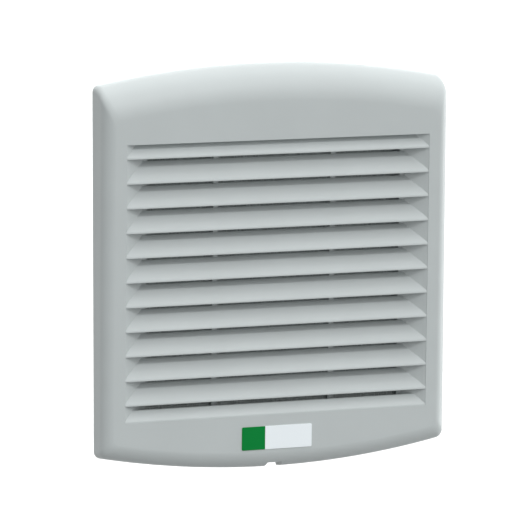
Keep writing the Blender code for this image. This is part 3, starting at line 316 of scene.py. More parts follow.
def combine(piece, tools, operation):
    """Join or cut a piece with several meshes at once and keep the result as its mesh."""
    tool_box = bpy.data.collections.new("tools")
    for mesh in tools:
        tool_box.objects.link(bpy.data.objects.new(mesh.name, mesh))
    step = piece.modifiers.new("step", "BOOLEAN")
    step.operand_type = "COLLECTION"
    step.collection = tool_box
    step.operation = operation
    step.solver = "EXACT"
    bpy.context.scene.collection.children.link(tool_box)
    bpy.context.view_layer.update()
    graph = bpy.context.evaluated_depsgraph_get()
    made = bpy.data.meshes.new_from_object(piece.evaluated_get(graph))
    material = piece.data.materials[0]
    piece.modifiers.clear()
    piece.data = made
    made.materials.clear()
    made.materials.append(material)
    for tool in list(tool_box.objects):
        bpy.data.objects.remove(tool)
    bpy.data.collections.remove(tool_box)


def shade_round(piece, angle):
    """Smooth shading that keeps edges sharper than the angle, and flat faces flat."""
    piece.data.shade_smooth()
    piece.data.set_sharp_from_angle(angle=math.radians(angle))
    weights = piece.modifiers.new("Weights", "WEIGHTED_NORMAL")
    weights.keep_sharp = True
    weights.weight = FLAT_FACE_WEIGHT


# Materials

def new_material(name, colour, roughness, metallic=0.0):
    """A material with its nodes, links and surface shader."""
    material = bpy.data.materials.new(name)
    material.use_nodes = True
    nodes = material.node_tree.nodes
    shader = nodes["Principled BSDF"]
    shader.inputs["Base Color"].default_value = (*colour, 1.0)
    shader.inputs["Roughness"].default_value = roughness
    shader.inputs["Metallic"].default_value = metallic
    return material, nodes, material.node_tree.links, shader


def noise(nodes, links, scale, detail=2.0, stretch=None):
    """Noise in the model's own metres, stretched along the axes if asked."""
    place = nodes.new("ShaderNodeTexCoord")
    texture = nodes.new("ShaderNodeTexNoise")
    texture.inputs["Scale"].default_value = scale
    texture.inputs["Detail"].default_value = detail
    if stretch:
        mapping = nodes.new("ShaderNodeMapping")
        mapping.inputs["Scale"].default_value = stretch
        links.new(place.outputs["Object"], mapping.inputs["Vector"])
        links.new(mapping.outputs["Vector"], texture.inputs["Vector"])
    else:
        links.new(place.outputs["Object"], texture.inputs["Vector"])
    return texture.outputs["Fac"]


def ramp(nodes, links, source, low, high, start=0.3, end=0.7):
    """Two colours blended over a stretch of the source."""
    blend = nodes.new("ShaderNodeValToRGB")
    blend.color_ramp.elements[0].position = start
    blend.color_ramp.elements[0].color = (*low, 1.0)
    blend.color_ramp.elements[1].position = end
    blend.color_ramp.elements[1].color = (*high, 1.0)
    links.new(source, blend.inputs["Fac"])
    return blend.outputs["Color"]


def span(nodes, links, source, low, high):
    """The source's 0 to 1 as low to high."""
    spread = nodes.new("ShaderNodeMapRange")
    spread.inputs["To Min"].default_value = low
    spread.inputs["To Max"].default_value = high
    links.new(source, spread.inputs["Value"])
    return spread.outputs["Result"]


def bump(nodes, links, shader, source, height):
    """Surface relief, over edges that are broken by a small radius."""
    node = nodes.new("ShaderNodeBump")
    node.inputs["Distance"].default_value = height
    rounded = nodes.new("ShaderNodeBevel")
    rounded.samples = EDGE_SAMPLES
    rounded.inputs["Radius"].default_value = EDGE_BREAK
    links.new(rounded.outputs["Normal"], node.inputs["Normal"])
    links.new(source, node.inputs["Height"])
    links.new(node.outputs["Normal"], shader.inputs["Normal"])


def shades(colour, spread):
    """A colour a share darker and the same share lighter."""
    return [c * (1 - spread) for c in colour], [c * (1 + spread) for c in colour]


def moulded(name, colour, roughness, spread=0.015, grain=GRAIN_SCALE, height=GRAIN_HEIGHT, gloss=0.5):
    """Moulded plastic: a fine spark-eroded grain and a faint cloudiness."""
    material, nodes, links, shader = new_material(name, colour, roughness)
    shader.inputs["Specular IOR Level"].default_value = gloss
    low, high = shades(colour, spread)
    cloud = noise(nodes, links, CLOUD_SCALE)
    links.new(ramp(nodes, links, cloud, low, high), shader.inputs["Base Color"])
    fine = noise(nodes, links, grain, GRAIN_DETAIL)
    gleam = span(nodes, links, fine, roughness - GRAIN_ROUGHNESS, roughness + GRAIN_ROUGHNESS)
    links.new(gleam, shader.inputs["Roughness"])
    bump(nodes, links, shader, fine, height)
    return material


def fleece(name, colour):
    """Bonded fleece: crossed fibres over a soft uneven base."""
    material, nodes, links, shader = new_material(name, colour, FIBRE_ROUGHNESS)
    joined = nodes.new("ShaderNodeMath")
    joined.operation = "MAXIMUM"
    ways = ((1.0, 1.0, FIBRE_STRETCH), (FIBRE_STRETCH, 1.0, 1.0))
    for index, stretch in enumerate(ways):
        fibres = noise(nodes, links, FIBRE_SCALE, FIBRE_DETAIL, stretch)
        links.new(fibres, joined.inputs[index])
    low, high = shades(colour, FIBRE_SPREAD)
    tint = ramp(nodes, links, joined.outputs[0], low, high, start=0.45, end=0.7)
    links.new(tint, shader.inputs["Base Color"])
    bump(nodes, links, shader, joined.outputs[0], FIBRE_HEIGHT)
    shader.inputs["Sheen Weight"].default_value = FIBRE_SHEEN
    return material


def foam(name, colour):
    """Closed-cell foam: small pores on a dull dark strip."""
    material, nodes, links, shader = new_material(name, colour, PORE_ROUGHNESS)
    place = nodes.new("ShaderNodeTexCoord")
    cells = nodes.new("ShaderNodeTexVoronoi")
    cells.inputs["Scale"].default_value = PORE_SCALE
    links.new(place.outputs["Object"], cells.inputs["Vector"])
    low, high = shades(colour, PORE_SPREAD)
    tint = ramp(nodes, links, cells.outputs["Distance"], low, high, start=0.1, end=0.8)
    links.new(tint, shader.inputs["Base Color"])
    bump(nodes, links, shader, cells.outputs["Distance"], PORE_HEIGHT)
    return material


def metal(name, colour, roughness):
    """Plain or plated metal: fine drawn or tumbled marks."""
    material, nodes, links, shader = new_material(name, colour, roughness, 1.0)
    marks = noise(nodes, links, MARK_SCALE, MARK_DETAIL)
    low, high = shades(colour, MARK_SPREAD)
    links.new(ramp(nodes, links, marks, low, high), shader.inputs["Base Color"])
    gleam = span(nodes, links, marks, roughness - MARK_POLISH, roughness + MARK_DULLING)
    links.new(gleam, shader.inputs["Roughness"])
    bump(nodes, links, shader, marks, MARK_HEIGHT)
    return material


def coated(name, colour, roughness, grain=PEEL_SCALE, height=PEEL_HEIGHT):
    """Coated cast metal: a low orange-peel surface."""
    material, nodes, links, shader = new_material(name, colour, roughness)
    peel = noise(nodes, links, grain)
    low, high = shades(colour, PEEL_SPREAD)
    links.new(ramp(nodes, links, peel, low, high), shader.inputs["Base Color"])
    gleam = span(nodes, links, peel, roughness - PEEL_POLISH, roughness + PEEL_DULLING)
    links.new(gleam, shader.inputs["Roughness"])
    bump(nodes, links, shader, peel, height)
    return material


def banded(name, colour, roughness, axis, pitch, depth):
    """Stacked sheets or laid wire: even bands along one axis."""
    material, nodes, links, shader = new_material(name, colour, roughness, 1.0)
    place = nodes.new("ShaderNodeTexCoord")
    wave = nodes.new("ShaderNodeTexWave")
    wave.bands_direction = axis
    wave.inputs["Scale"].default_value = BAND_SCALE / pitch
    wave.inputs["Distortion"].default_value = BAND_DISTORTION
    links.new(place.outputs["Object"], wave.inputs["Vector"])
    low, high = shades(colour, BAND_SPREAD)
    tint = ramp(nodes, links, wave.outputs["Fac"], low, high, start=0.1, end=0.6)
    links.new(tint, shader.inputs["Base Color"])
    bump(nodes, links, shader, wave.outputs["Fac"], depth)
    return material


MATERIALS = {
    "cover_plastic": moulded("cover_plastic", (0.457, 0.496, 0.498), 0.5),
    "frame_plastic": moulded("frame_plastic", (0.4, 0.43, 0.43), 0.52),
    "gasket_foam": foam("gasket_foam", (0.05, 0.05, 0.055)),
    "filter_fleece": fleece("filter_fleece", (0.51, 0.55, 0.55)),
    "pawl_plastic": moulded("pawl_plastic", (0.35, 0.37, 0.37), 0.42),
    "fan_metal": coated("fan_metal", (0.025, 0.025, 0.027), 0.45),
    "rotor_steel": coated("rotor_steel", (0.035, 0.035, 0.037), 0.35, grain=900.0, height=0.00002),
    "impeller_plastic": moulded(
        "impeller_plastic", (0.028, 0.028, 0.031), 0.42, spread=0.1, grain=4000.0, height=0.00002
    ),
    "zinc_steel": metal("zinc_steel", (0.62, 0.62, 0.6), 0.35),
    "guard_steel": metal("guard_steel", (0.7, 0.69, 0.67), 0.25),
    "winding_copper": banded("winding_copper", (0.62, 0.25, 0.11), 0.35, "Y", pitch=0.0006, depth=0.0002),
    "cage_aluminium": metal("cage_aluminium", (0.7, 0.7, 0.72), 0.4),
    "terminal_plastic": moulded("terminal_plastic", (0.72, 0.72, 0.69), 0.45),
}
PLATE_WHITE = moulded(
    "plate_white", (0.84, 0.9, 0.93), 0.32, 0.005, FINE_GRAIN_SCALE, FINE_GRAIN_HEIGHT, gloss=0.3
)
PLATE_GREEN = moulded(
    "plate_green", (0.001, 0.2, 0.036), 0.45, 0.02, FINE_GRAIN_SCALE, FINE_GRAIN_HEIGHT, gloss=0.08
)


def smooth_by_angle(limit):
    """A modifier's node tree that joins faces and shades them smooth, but for edges past the limit."""
    tree = bpy.data.node_groups.new("smooth_by_angle", "GeometryNodeTree")
    tree.interface.new_socket("Geometry", in_out="INPUT", socket_type="NodeSocketGeometry")
    tree.interface.new_socket("Geometry", in_out="OUTPUT", socket_type="NodeSocketGeometry")
    nodes, links = tree.nodes, tree.links
    source = nodes.new("NodeGroupInput")
    result = nodes.new("NodeGroupOutput")
    weld = nodes.new("GeometryNodeMergeByDistance")
    weld.inputs["Distance"].default_value = NODE_WELD
    faces = nodes.new("GeometryNodeSetShadeSmooth")
    faces.domain = "FACE"
    edges = nodes.new("GeometryNodeSetShadeSmooth")
    edges.domain = "EDGE"
    angle = nodes.new("GeometryNodeInputMeshEdgeAngle")
    below = nodes.new("FunctionNodeCompare")
    below.operation = "LESS_THAN"
    below.inputs["B"].default_value = math.radians(limit)
    links.new(angle.outputs["Unsigned Angle"], below.inputs["A"])
    links.new(source.outputs["Geometry"], weld.inputs["Geometry"])
    links.new(weld.outputs["Geometry"], faces.inputs["Geometry"])
    links.new(faces.outputs["Geometry"], edges.inputs["Geometry"])
    links.new(below.outputs["Result"], edges.inputs["Shade Smooth"])
    links.new(edges.outputs["Geometry"], result.inputs["Geometry"])
    return tree


def dress_nodes():
    """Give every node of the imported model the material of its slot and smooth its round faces."""
    tree = smooth_by_angle(NODE_SMOOTH_ANGLE)
    for part in frame["record"]["subparts"]:
        node = NODES[part["node"]]
        for place in node.material_slots:
            place.material = MATERIALS[part["material_slot"]]
        smooth = node.modifiers.new("Smooth", "NODES")
        smooth.node_group = tree
        weights = node.modifiers.new("Weights", "WEIGHTED_NORMAL")
        weights.keep_sharp = True


# Cover

def front_plane(z):
    """The y of the cover's leaning front face at a height."""
    return -(COVER_FRONT + FRONT_LEAN * z)


def leaned(mesh):
    """Move a mesh drawn by depth behind the front face to its leaning place."""
    for vertex in mesh.vertices:
        vertex.co.y += front_plane(vertex.co.z)
    return mesh


def arched_outline(top, side, bottom, wall=0.0):
    """The cover's outline, drawn in by its own amount at the top, sides and bottom."""
    half = COVER_WIDTH / 2 - side
    corner = COVER_CORNER - wall
    points = []
    ends = (
        (1, COVER_HEIGHT / 2 - top, TOP_ARCH_RADIUS - wall, TOP_ARCH_STEPS),
        (-1, COVER_HEIGHT / 2 - bottom - BOTTOM_TRIM, BOTTOM_ARCH_RADIUS - wall, BOTTOM_ARCH_STEPS),
    )
    for sign, height, radius, steps in ends:
        centre = height - radius
        corner_x = half - corner
        corner_z = centre + math.sqrt((radius - corner) ** 2 - corner_x ** 2)
        tangent = math.atan2(corner_z - centre, corner_x)
        rounding = []
        for step in range(CORNER_STEPS):
            angle = tangent * step / CORNER_STEPS
            rounding.append((corner_x + corner * math.cos(angle), corner_z + corner * math.sin(angle)))
        arch = []
        for step in range(steps + 1):
            angle = tangent + (math.pi - 2 * tangent) * step / steps
            arch.append((radius * math.cos(angle), centre + radius * math.sin(angle)))
        outline = rounding + arch + [(-x, z) for x, z in rounding[::-1]]
        points += [(sign * x, sign * z) for x, z in outline]
    return points


def fillet_inset(depth, full_depth, radius):
    """How far a front fillet of this radius draws the outline in at a depth."""
    past = max(0.0, depth - (full_depth - radius))
    return radius - math.sqrt(max(0.0, radius ** 2 - past ** 2))


def cover_ring(share, wall=0.0):
    """The outline at a share of the depth from the rear edge to the front, a wall inside the outer face."""
    full = COVER_DEPTH - wall
    depth = share * full
    top = wall + (TOP_ROLL - wall) * (1 - math.sqrt(max(0.0, 1 - share ** 2)))
    side = wall + SIDE_DRAFT * share + fillet_inset(depth, full, SIDE_FILLET - wall)
    bottom = wall + BOTTOM_DRAFT * share + fillet_inset(depth, full, BOTTOM_FILLET - wall)
    ring = []
    for x, z in arched_outline(top, side, bottom, wall):
        ring.append((x, -COVER_REAR_GAP - share * (full + FRONT_LEAN * z), z))
    return ring


def slat_depth(rise):
    """How deep a blade's face lies at a rise above its front edge: a lip, a bend, then a slope."""
    slope = VENT_DEPTH / (SLAT_RISE - SLAT_LIP)
    return slope * SLAT_BEND * math.log1p(math.exp((rise - SLAT_LIP) / SLAT_BEND))


def slat_outline(edge):
    """A blade's section by depth and height, from its front lip to its rear edge."""
    face = []
    for step in range(SECTION_STEPS + 1):
        rise = SLAT_RISE * (step / SECTION_STEPS) ** SLAT_STEP_BIAS
        face.append((SLAT_SETBACK + slat_depth(rise), edge + rise))
    rear, top = face[-1]
    back = [(rear + SLAT_WALL, top - SLAT_WALL / 2), (SLAT_SETBACK + SLAT_WALL, edge)]
    return face + back


def vent_window():
    """The opening that the louvres fill."""
    corners = [
        (-VENT_HALF, VENT_BOTTOM),
        (VENT_HALF, VENT_BOTTOM),
        (VENT_HALF, VENT_TOP),
        (-VENT_HALF, VENT_TOP),
    ]
    return leaned(loft("vent_window", along_y(corners, -COVER_WALL, COVER_WALL + RUNNING_GAP)))


def vent_end(side):
    """The wall that closes the louvres at one side: steep at its outer edge, then slanted."""
    inner = side * (VENT_HALF - END_BLOCK)
    outer = side * (VENT_HALF + COVER_WALL / 2)
    floor = VENT_DEPTH + 2 * SLAT_SETBACK
    section = [
        (side * VENT_HALF, 3 * SLAT_SETBACK),
        *((side * (VENT_HALF - inset), depth) for inset, depth in END_STEEP),
        (side * (VENT_HALF - END_SLANT), floor),
        (inner, floor + SLAT_SETBACK),
        (inner, floor + SLAT_WALL),
        (side * (VENT_HALF - END_SLANT), floor + SLAT_WALL),
        (outer, COVER_WALL + RUNNING_GAP),
        (outer, SLAT_SETBACK + COVER_WALL / 2),
    ]
    rings = along_z(section, VENT_BOTTOM - COVER_WALL, VENT_TOP + COVER_WALL)
    return leaned(loft("vent_end", rings))


def slats():
    """The blades, from the top down."""
    reach = VENT_HALF + COVER_WALL / 3
    for index in range(SLAT_COUNT):
        outline = slat_outline(FIRST_SLAT_EDGE - index * SLAT_PITCH)
        yield leaned(loft(f"slat_{index + 1:02d}", along_x(outline, -reach, reach)))


def vent_rib(side):
    """One of the two upright ribs behind the blades."""
    centre = side * RIB_SPACING / 2
    front = VENT_DEPTH + SLAT_SETBACK
    low = (centre - RIB_WIDTH / 2, front, VENT_BOTTOM - COVER_WALL)
    high = (centre + RIB_WIDTH / 2, front + RIB_DEPTH, VENT_TOP + COVER_WALL)
    return leaned(box("vent_rib", low, high))


def vent_head():
    """The closed half recess above the first blade."""
    reach = VENT_HALF + COVER_WALL / 4
    ceiling = VENT_TOP + SLAT_SETBACK
    wall = SLAT_SETBACK + COVER_WALL / 2
    outline = [
        (wall, ceiling),
        (slat_depth(TOP_RECESS) + SLAT_WALL, ceiling),
        (VENT_DEPTH + SLAT_WALL, FIRST_SLAT_EDGE + SLAT_RISE),
        (VENT_DEPTH + SLAT_WALL, FIRST_SLAT_EDGE + SLAT_RISE + SLAT_WALL),
        (wall, ceiling + SLAT_WALL),
    ]
    return leaned(loft("vent_head", along_x(outline, -reach, reach)))


def vent_sill():
    """The sloped sill below the last blade."""
    reach = VENT_HALF + COVER_WALL / 5
    top = LAST_SLAT_EDGE - SLAT_GAP - SILL_DROP
    height = top - VENT_BOTTOM
    face = []
    for step in range(SECTION_STEPS + 1):
        rise = height * step / SECTION_STEPS
        depth = slat_depth(rise) * rise / (rise + SLAT_BEND)
        face.append((SLAT_SETBACK + depth, VENT_BOTTOM + SLAT_SETBACK + rise))
    outline = face + [
        (face[-1][0] + SLAT_WALL, top - SLAT_WALL / 2),
        (COVER_WALL, VENT_BOTTOM - COVER_WALL),
        (SLAT_SETBACK + COVER_WALL / 2, VENT_BOTTOM - COVER_WALL),
    ]
    return leaned(loft("vent_sill", along_x(outline, -reach, reach)))


def release_notch():
    """The screwdriver notch, out through the lower edge and the front fillet."""
    low = -COVER_HEIGHT / 2
    half_low = NOTCH_WIDTH / 2
    half_top = NOTCH_TOP_WIDTH / 2
    spread = (half_low - half_top) / NOTCH_DEPTH * COVER_WALL
    top = low + NOTCH_DEPTH + BOTTOM_DRAFT
    outline = [
        (-half_low - spread, low - COVER_WALL),
        (half_low + spread, low - COVER_WALL),
        (half_top, top),
        (-half_top, top),
    ]
    return loft("release_notch", along_y(outline, front_plane(low) - RUNNING_GAP, RUNNING_GAP))


def roof_middle(x, y):
    """The height of the middle of the cover's rolled roof wall at a place."""
    arch = TOP_ARCH_RADIUS - math.sqrt(TOP_ARCH_RADIUS ** 2 - x ** 2)
    full = COVER_DEPTH + FRONT_LEAN * (COVER_HEIGHT / 2 - arch)
    share = (-y - COVER_REAR_GAP) / full
    return COVER_HEIGHT / 2 - arch - TOP_ROLL * (1 - math.sqrt(1 - share ** 2)) - COVER_WALL / 2


def hinge_cheek(centre):
    """A cheek that hangs from the cover's roof and holds one end of a hinge pin."""
    radius = HINGE_PIN_RADIUS + CHEEK_WALL
    outer_x = abs(centre) + HINGE_CHEEK / 2
    outline = [(y, roof_middle(outer_x, y)) for y in (HINGE_Y + radius, HINGE_Y - radius / 2)]
    for step in range(PIN_STEPS):
        angle = math.radians(CHEEK_START + (360 - CHEEK_START) * step / (PIN_STEPS - 1))
        outline.append((HINGE_Y + radius * math.cos(angle), HINGE_Z + radius * math.sin(angle)))
    return loft("hinge_cheek", along_x(outline, centre - HINGE_CHEEK / 2, centre + HINGE_CHEEK / 2))


def cover_hinges():
    """The two hinge pins, each between its two cheeks."""
    offset = (HINGE_PIN_LENGTH - HINGE_CHEEK) / 2
    pin = []
    for step in range(PIN_STEPS):
        angle = 2 * math.pi * step / PIN_STEPS
        y = HINGE_Y + HINGE_PIN_RADIUS * math.cos(angle)
        z = HINGE_Z + HINGE_PIN_RADIUS * math.sin(angle)
        pin.append((y, z))
    for side in (-1, 1):
        centre = side * HINGE_SPACING / 2
        yield hinge_cheek(centre - offset)
        yield hinge_cheek(centre + offset)
        yield loft("hinge_pin", along_x(pin, centre - offset, centre + offset))


def catch_ledge(side):
    """A low ledge on the cover's inner lower wall behind a catch tongue's nose."""
    x = CATCH_SPACING / 2 + CATCH_WIDTH / 2
    arch = BOTTOM_ARCH_RADIUS - math.sqrt(BOTTOM_ARCH_RADIUS ** 2 - x ** 2)
    top = -COVER_HEIGHT / 2 + arch + COVER_WALL + BOTTOM_DRAFT + CATCH_NOSE
    centre = side * CATCH_SPACING / 2
    low = (centre - CATCH_WIDTH / 2, FLANGE_FRONT, top - CATCH_NOSE - COVER_WALL / 2)
    high = (centre + CATCH_WIDTH / 2, FLANGE_FRONT + CATCH_WALL, top)
    return box("catch_ledge", low, high)


def make_cover():
    """The cover as one shell: hollowed, its vent opened, then its louvres, pins and ledges joined on."""
    shares = [math.sin(math.pi / 2 * step / ROLL_STEPS) for step in range(ROLL_STEPS + 1)]
    outside = loft("cover_shell", [cover_ring(share) for share in shares])
    cover = add_piece("cover_shell", outside, MATERIALS["cover_plastic"])
    inside = [cover_ring(share, COVER_WALL) for share in shares[::2]]
    opening = [(x, RUNNING_GAP, z) for x, _, z in inside[0]]
    combine(cover, [loft("cover_inside", [opening] + inside)], "DIFFERENCE")
    combine(cover, [vent_window()], "DIFFERENCE")
    ends = [vent_end(side) for side in (-1, 1)]
    ribs = [vent_rib(side) for side in (-1, 1)]
    ledges = [catch_ledge(side) for side in (-1, 1)]
    combine(cover, [*ends, *slats(), *ribs, vent_head(), vent_sill(), *cover_hinges(), *ledges], "UNION")
    combine(cover, [release_notch()], "DIFFERENCE")
    shade_round(cover, COVER_SMOOTH_ANGLE)
    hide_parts("front_cover")
    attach(cover, "cover")


def plate_field(name, left, right, material, round_left, round_right):
    """One field of the plate, its outer corners rounded, lying on the leaning front."""
    top = PLATE_TOP
    low = PLATE_TOP - PLATE_HEIGHT
    corners = (
        (right, top, 1, 1, round_right),
        (left, top, -1, 1, round_left),
        (left, low, -1, -1, round_left),
        (right, low, 1, -1, round_right),
    )
    outline = []
    for quarter, (x, z, x_side, z_side, rounded) in enumerate(corners):
        radius = PLATE_CORNER if rounded else PLATE_SPLIT_CORNER
        centre_x = x - x_side * radius
        centre_z = z - z_side * radius
        for step in range(PLATE_CORNER_STEPS + 1):
            angle = math.pi / 2 * (quarter + step / PLATE_CORNER_STEPS)
            outline.append((centre_x + radius * math.cos(angle), centre_z + radius * math.sin(angle)))
    mesh = leaned(loft(name, along_y(outline, -PLATE_PROUD, PLATE_SUNK)))
    field = add_piece(name, mesh, material)
    edge = field.modifiers.new("Edge", "BEVEL")
    edge.width = PLATE_EDGE
    edge.segments = 2
    edge.limit_method = "ANGLE"
    edge.angle_limit = math.radians(PLATE_EDGE_ANGLE)
    shade_round(field, PLATE_SMOOTH_ANGLE)
    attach(field, "cover")


def make_plate():
    """The bare plate: a coloured field beside a pale one."""
    left = -PLATE_WIDTH / 2
    split = left + PLATE_FIELD
    plate_field("plate_colour_field", left, split, PLATE_GREEN, True, False)
    plate_field("plate_pale_field", split, -left, PLATE_WHITE, False, True)


# Filter mat

def mat_wave(x, z, phase):
    """The fleece's shallow unevenness, between -1 and 1."""
    across, up, shift = LONG_SWELL
    long_swell = math.sin(across * x + shift * phase) * math.sin(up * z + phase)
    first_x, first_z, second_z, second_x = SHORT_SWELL
    short_swell = math.sin(first_x * x + first_z * z + phase) * math.sin(second_z * z - second_x * x)
    return LONG_SWELL_SHARE * long_swell + SHORT_SWELL_SHARE * short_swell


def bunched(place):
    """A place from -1 to 1, moved so that a grid of such places gathers at the rim."""
    return math.sin(math.pi / 2 * place) * MAT_BUNCHING + place * (1 - MAT_BUNCHING)


def make_mat():
    """A soft pad with rounded edges that pulls in a little between its corners."""
    low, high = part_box("filter_mat")
    half = (high[0] - low[0]) / 2
    middle = (low[1] + high[1]) / 2
    thick = (high[1] - low[1]) / 2 - MAT_WAVE
    shape = bmesh.new()
    skins = []
    for side in (-1, 1):
        skin = {}
        for i in range(MAT_STEPS + 1):
            for j in range(MAT_STEPS + 1):
                u = bunched(2 * i / MAT_STEPS - 1)
                v = bunched(2 * j / MAT_STEPS - 1)
                x = u * (half - MAT_PULL * (1 - v * v))
                z = v * (half - MAT_PULL * (1 - u * u))
                inset = min(half * (1 - abs(u)), half * (1 - abs(v)))
                rounding = math.sqrt(1 - (1 - min(inset / MAT_EDGE, 1.0)) ** 2)
                shoulder = MAT_SHOULDER + (1 - MAT_SHOULDER) * rounding
                crown = thick * shoulder * (MAT_RIM + (1 - MAT_RIM) * rounding)
                y = middle + side * (crown + MAT_WAVE * mat_wave(x, z, side) * rounding)
                if inset > MAT_SEAM or side < 0:
                    skin[i, j] = shape.verts.new((x, y, z))
        skins.append(skin)
    front = skins[0]
    for skin in skins:
        for i in range(MAT_STEPS):
            for j in range(MAT_STEPS):
                corners = [(i, j), (i + 1, j), (i + 1, j + 1), (i, j + 1)]
                shape.faces.new([skin[place] if place in skin else front[place] for place in corners])
    mat = add_piece("filter_pad", finish_mesh("filter_pad", shape), MATERIALS["filter_fleece"])
    mat.data.shade_smooth()
    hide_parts("filter_mat")
    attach(mat, "frame")


# Finger guard

def add_wire(shape, points, closed):
    """Add a round wire, through points at one depth, to the mesh."""
    rows = []
    for index, point in enumerate(points):
        behind = points[index - 1] if closed or index else point
        ahead = points[(index + 1) % len(points)] if closed or index + 1 < len(points) else point
        along = (ahead - behind).normalized()
        across = along.cross(Vector((0, 1, 0)))
        row = []
        for step in range(WIRE_STEPS):
            angle = 2 * math.pi * step / WIRE_STEPS
            offset = across * math.cos(angle) + Vector((0, math.sin(angle), 0))
            row.append(shape.verts.new(point + offset * GUARD_WIRE / 2))
        rows.append(row)
    pairs = list(zip(rows, rows[1:]))
    if closed:
        pairs.append((rows[-1], rows[0]))
    else:
        shape.faces.new(rows[0])
        shape.faces.new(rows[-1])
    for row, following in pairs:
        for step in range(WIRE_STEPS):
            beside = (step + 1) % WIRE_STEPS
            shape.faces.new((row[step], row[beside], following[beside], following[step]))


def ring_points(radius, steps, y, centre=(0.0, 0.0)):
    """Points on an upright circle at one depth."""
    angles = [2 * math.pi * step / steps for step in range(steps)]
    return [Vector((centre[0] + radius * math.cos(a), y, centre[1] + radius * math.sin(a))) for a in angles]


def make_guard():
    """Wire rings on four spokes, each spoke ending in an eye at its screw."""
    shape = bmesh.new()
    for turn in GUARD_TURNS:
        way = Vector((math.sin(math.radians(turn)), 0, math.cos(math.radians(turn))))
        depth = Vector((0, GUARD_SPOKE_Y, 0))
        inner = GUARD_INNER_RADIUS - GUARD_WIRE / 2
        outer = GUARD_REACH - GUARD_EYE
        add_wire(shape, [way * inner + depth, way * outer + depth], False)
        screw = way * GUARD_REACH
        add_wire(shape, ring_points(GUARD_EYE, GUARD_EYE_STEPS, GUARD_SPOKE_Y, (screw.x, screw.z)), True)
    for index in range(GUARD_RINGS):
        radius = GUARD_INNER_RADIUS + index * GUARD_PITCH
        steps = GUARD_RING_STEPS + GUARD_RING_MORE_STEPS * index
        add_wire(shape, ring_points(radius, steps, GUARD_RING_Y), True)
    guard = add_piece("guard_wires", finish_mesh("guard_wires", shape), MATERIALS["guard_steel"])
    shade_round(guard, GUARD_SMOOTH_ANGLE)
    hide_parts("finger_guard")
    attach(guard, "frame")


# Camera, light and floor

def make_camera():
    """The camera, to the left of the object and a little above it."""
    data = bpy.data.cameras.new("camera")
    camera = bpy.data.objects.new("camera", data)
    bpy.context.scene.collection.objects.link(camera)
    azimuth = math.radians(CAMERA_AZIMUTH)
    elevation = math.radians(CAMERA_ELEVATION)
    back = Vector((
        math.sin(azimuth) * math.cos(elevation),
        -math.cos(azimuth) * math.cos(elevation),
        math.sin(elevation),
    ))
    camera.location = Vector((0, -COVER_REAR_GAP, 0)) + back * CAMERA_DISTANCE
    camera.rotation_mode = "QUATERNION"
    camera.rotation_quaternion = (-back).to_track_quat("-Z", "Y")
    data.sensor_width = SENSOR
    data.lens = PICTURE_SCALE * CAMERA_DISTANCE / PICTURE_SIZE * SENSOR
    data.shift_x = (PICTURE_SIZE / 2 - PICTURE_CENTRE[0]) / PICTURE_SIZE
    data.shift_y = (PICTURE_CENTRE[1] - PICTURE_SIZE / 2) / PICTURE_SIZE
    bpy.context.scene.camera = camera


def add_lamp(name, direction, strength, angle):
    """A distant soft lamp; the direction points from the object to the lamp."""
    data = bpy.data.lights.new(name, "SUN")
    data.energy = strength
    data.angle = math.radians(angle)
    lamp = bpy.data.objects.new(name, data)
    bpy.context.scene.collection.objects.link(lamp)
    lamp.rotation_mode = "QUATERNION"
    lamp.rotation_quaternion = Vector(direction).to_track_quat("Z", "Y")


def seen_directly(nodes, links):
    """1 for rays that show the background: from the camera, a mirror or glass."""
    path = nodes.new("ShaderNodeLightPath")
    total = path.outputs["Is Camera Ray"]
    for name in ("Is Glossy Ray", "Is Transmission Ray"):
        either = nodes.new("ShaderNodeMath")
        either.operation = "MAXIMUM"
        links.new(total, either.inputs[0])
        links.new(path.outputs[name], either.inputs[1])
        total = either.outputs[0]
    return total


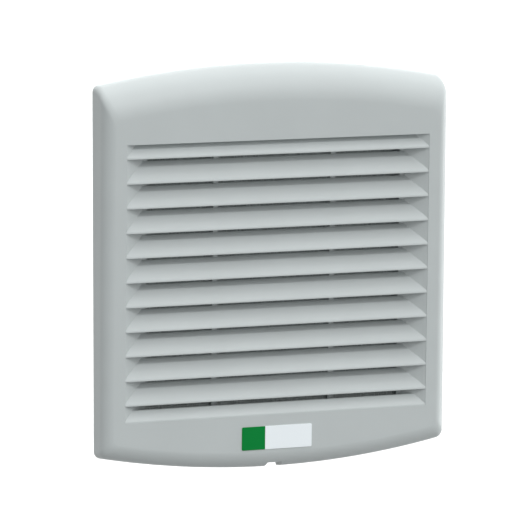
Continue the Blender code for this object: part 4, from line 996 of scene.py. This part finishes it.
def make_world():
    """Light that grows from the horizon to the zenith, on a white background."""
    world = bpy.data.worlds.new("studio")
    world.use_nodes = True
    bpy.context.scene.world = world
    nodes, links = world.node_tree.nodes, world.node_tree.links
    backdrop = nodes["Background"]
    backdrop.inputs["Color"].default_value = (1.0, 1.0, 1.0, 1.0)
    light = nodes.new("ShaderNodeBackground")
    light.inputs["Color"].default_value = (1.0, 1.0, 1.0, 1.0)
    place = nodes.new("ShaderNodeTexCoord")
    parts = nodes.new("ShaderNodeSeparateXYZ")
    links.new(place.outputs["Generated"], parts.inputs["Vector"])
    links.new(span(nodes, links, parts.outputs["Z"], WORLD_HORIZON, WORLD_ZENITH), light.inputs["Strength"])
    mix = nodes.new("ShaderNodeMixShader")
    links.new(seen_directly(nodes, links), mix.inputs["Fac"])
    links.new(light.outputs["Background"], mix.inputs[1])
    links.new(backdrop.outputs["Background"], mix.inputs[2])
    links.new(mix.outputs["Shader"], nodes["World Output"].inputs["Surface"])


def make_floor():
    """A plain pale floor below the object, which hangs in a cabinet's wall."""
    corners = [
        (-FLOOR_HALF, -FLOOR_HALF),
        (FLOOR_HALF, -FLOOR_HALF),
        (FLOOR_HALF, FLOOR_HALF),
        (-FLOOR_HALF, FLOOR_HALF),
    ]
    mesh = bpy.data.meshes.new("floor")
    mesh.from_pydata([(x, y, FLOOR_HEIGHT) for x, y in corners], [], [(0, 1, 2, 3)])
    material, nodes, links, shader = new_material("floor_paint", FLOOR_SEEN, FLOOR_ROUGHNESS)
    dull = nodes.new("ShaderNodeBsdfDiffuse")
    dull.inputs["Color"].default_value = (*FLOOR_BOUNCE, 1.0)
    grain = noise(nodes, links, FLOOR_GRAIN_SCALE)
    low, high = shades(FLOOR_SEEN, FLOOR_GRAIN_SPREAD)
    links.new(ramp(nodes, links, grain, low, high), shader.inputs["Base Color"])
    shader.inputs["Specular IOR Level"].default_value = 0.0
    mix = nodes.new("ShaderNodeMixShader")
    links.new(seen_directly(nodes, links), mix.inputs["Fac"])
    links.new(dull.outputs["BSDF"], mix.inputs[1])
    links.new(shader.outputs["BSDF"], mix.inputs[2])
    links.new(mix.outputs["Shader"], nodes["Material Output"].inputs["Surface"])
    floor = add_piece("floor", mesh, material)


make_camera()
make_world()
for lamp in LAMPS:
    add_lamp(*lamp)
make_floor()
dress_nodes()
make_cover()
make_plate()
make_mat()
make_guard()
bpy.context.scene.view_settings.view_transform = "Standard"
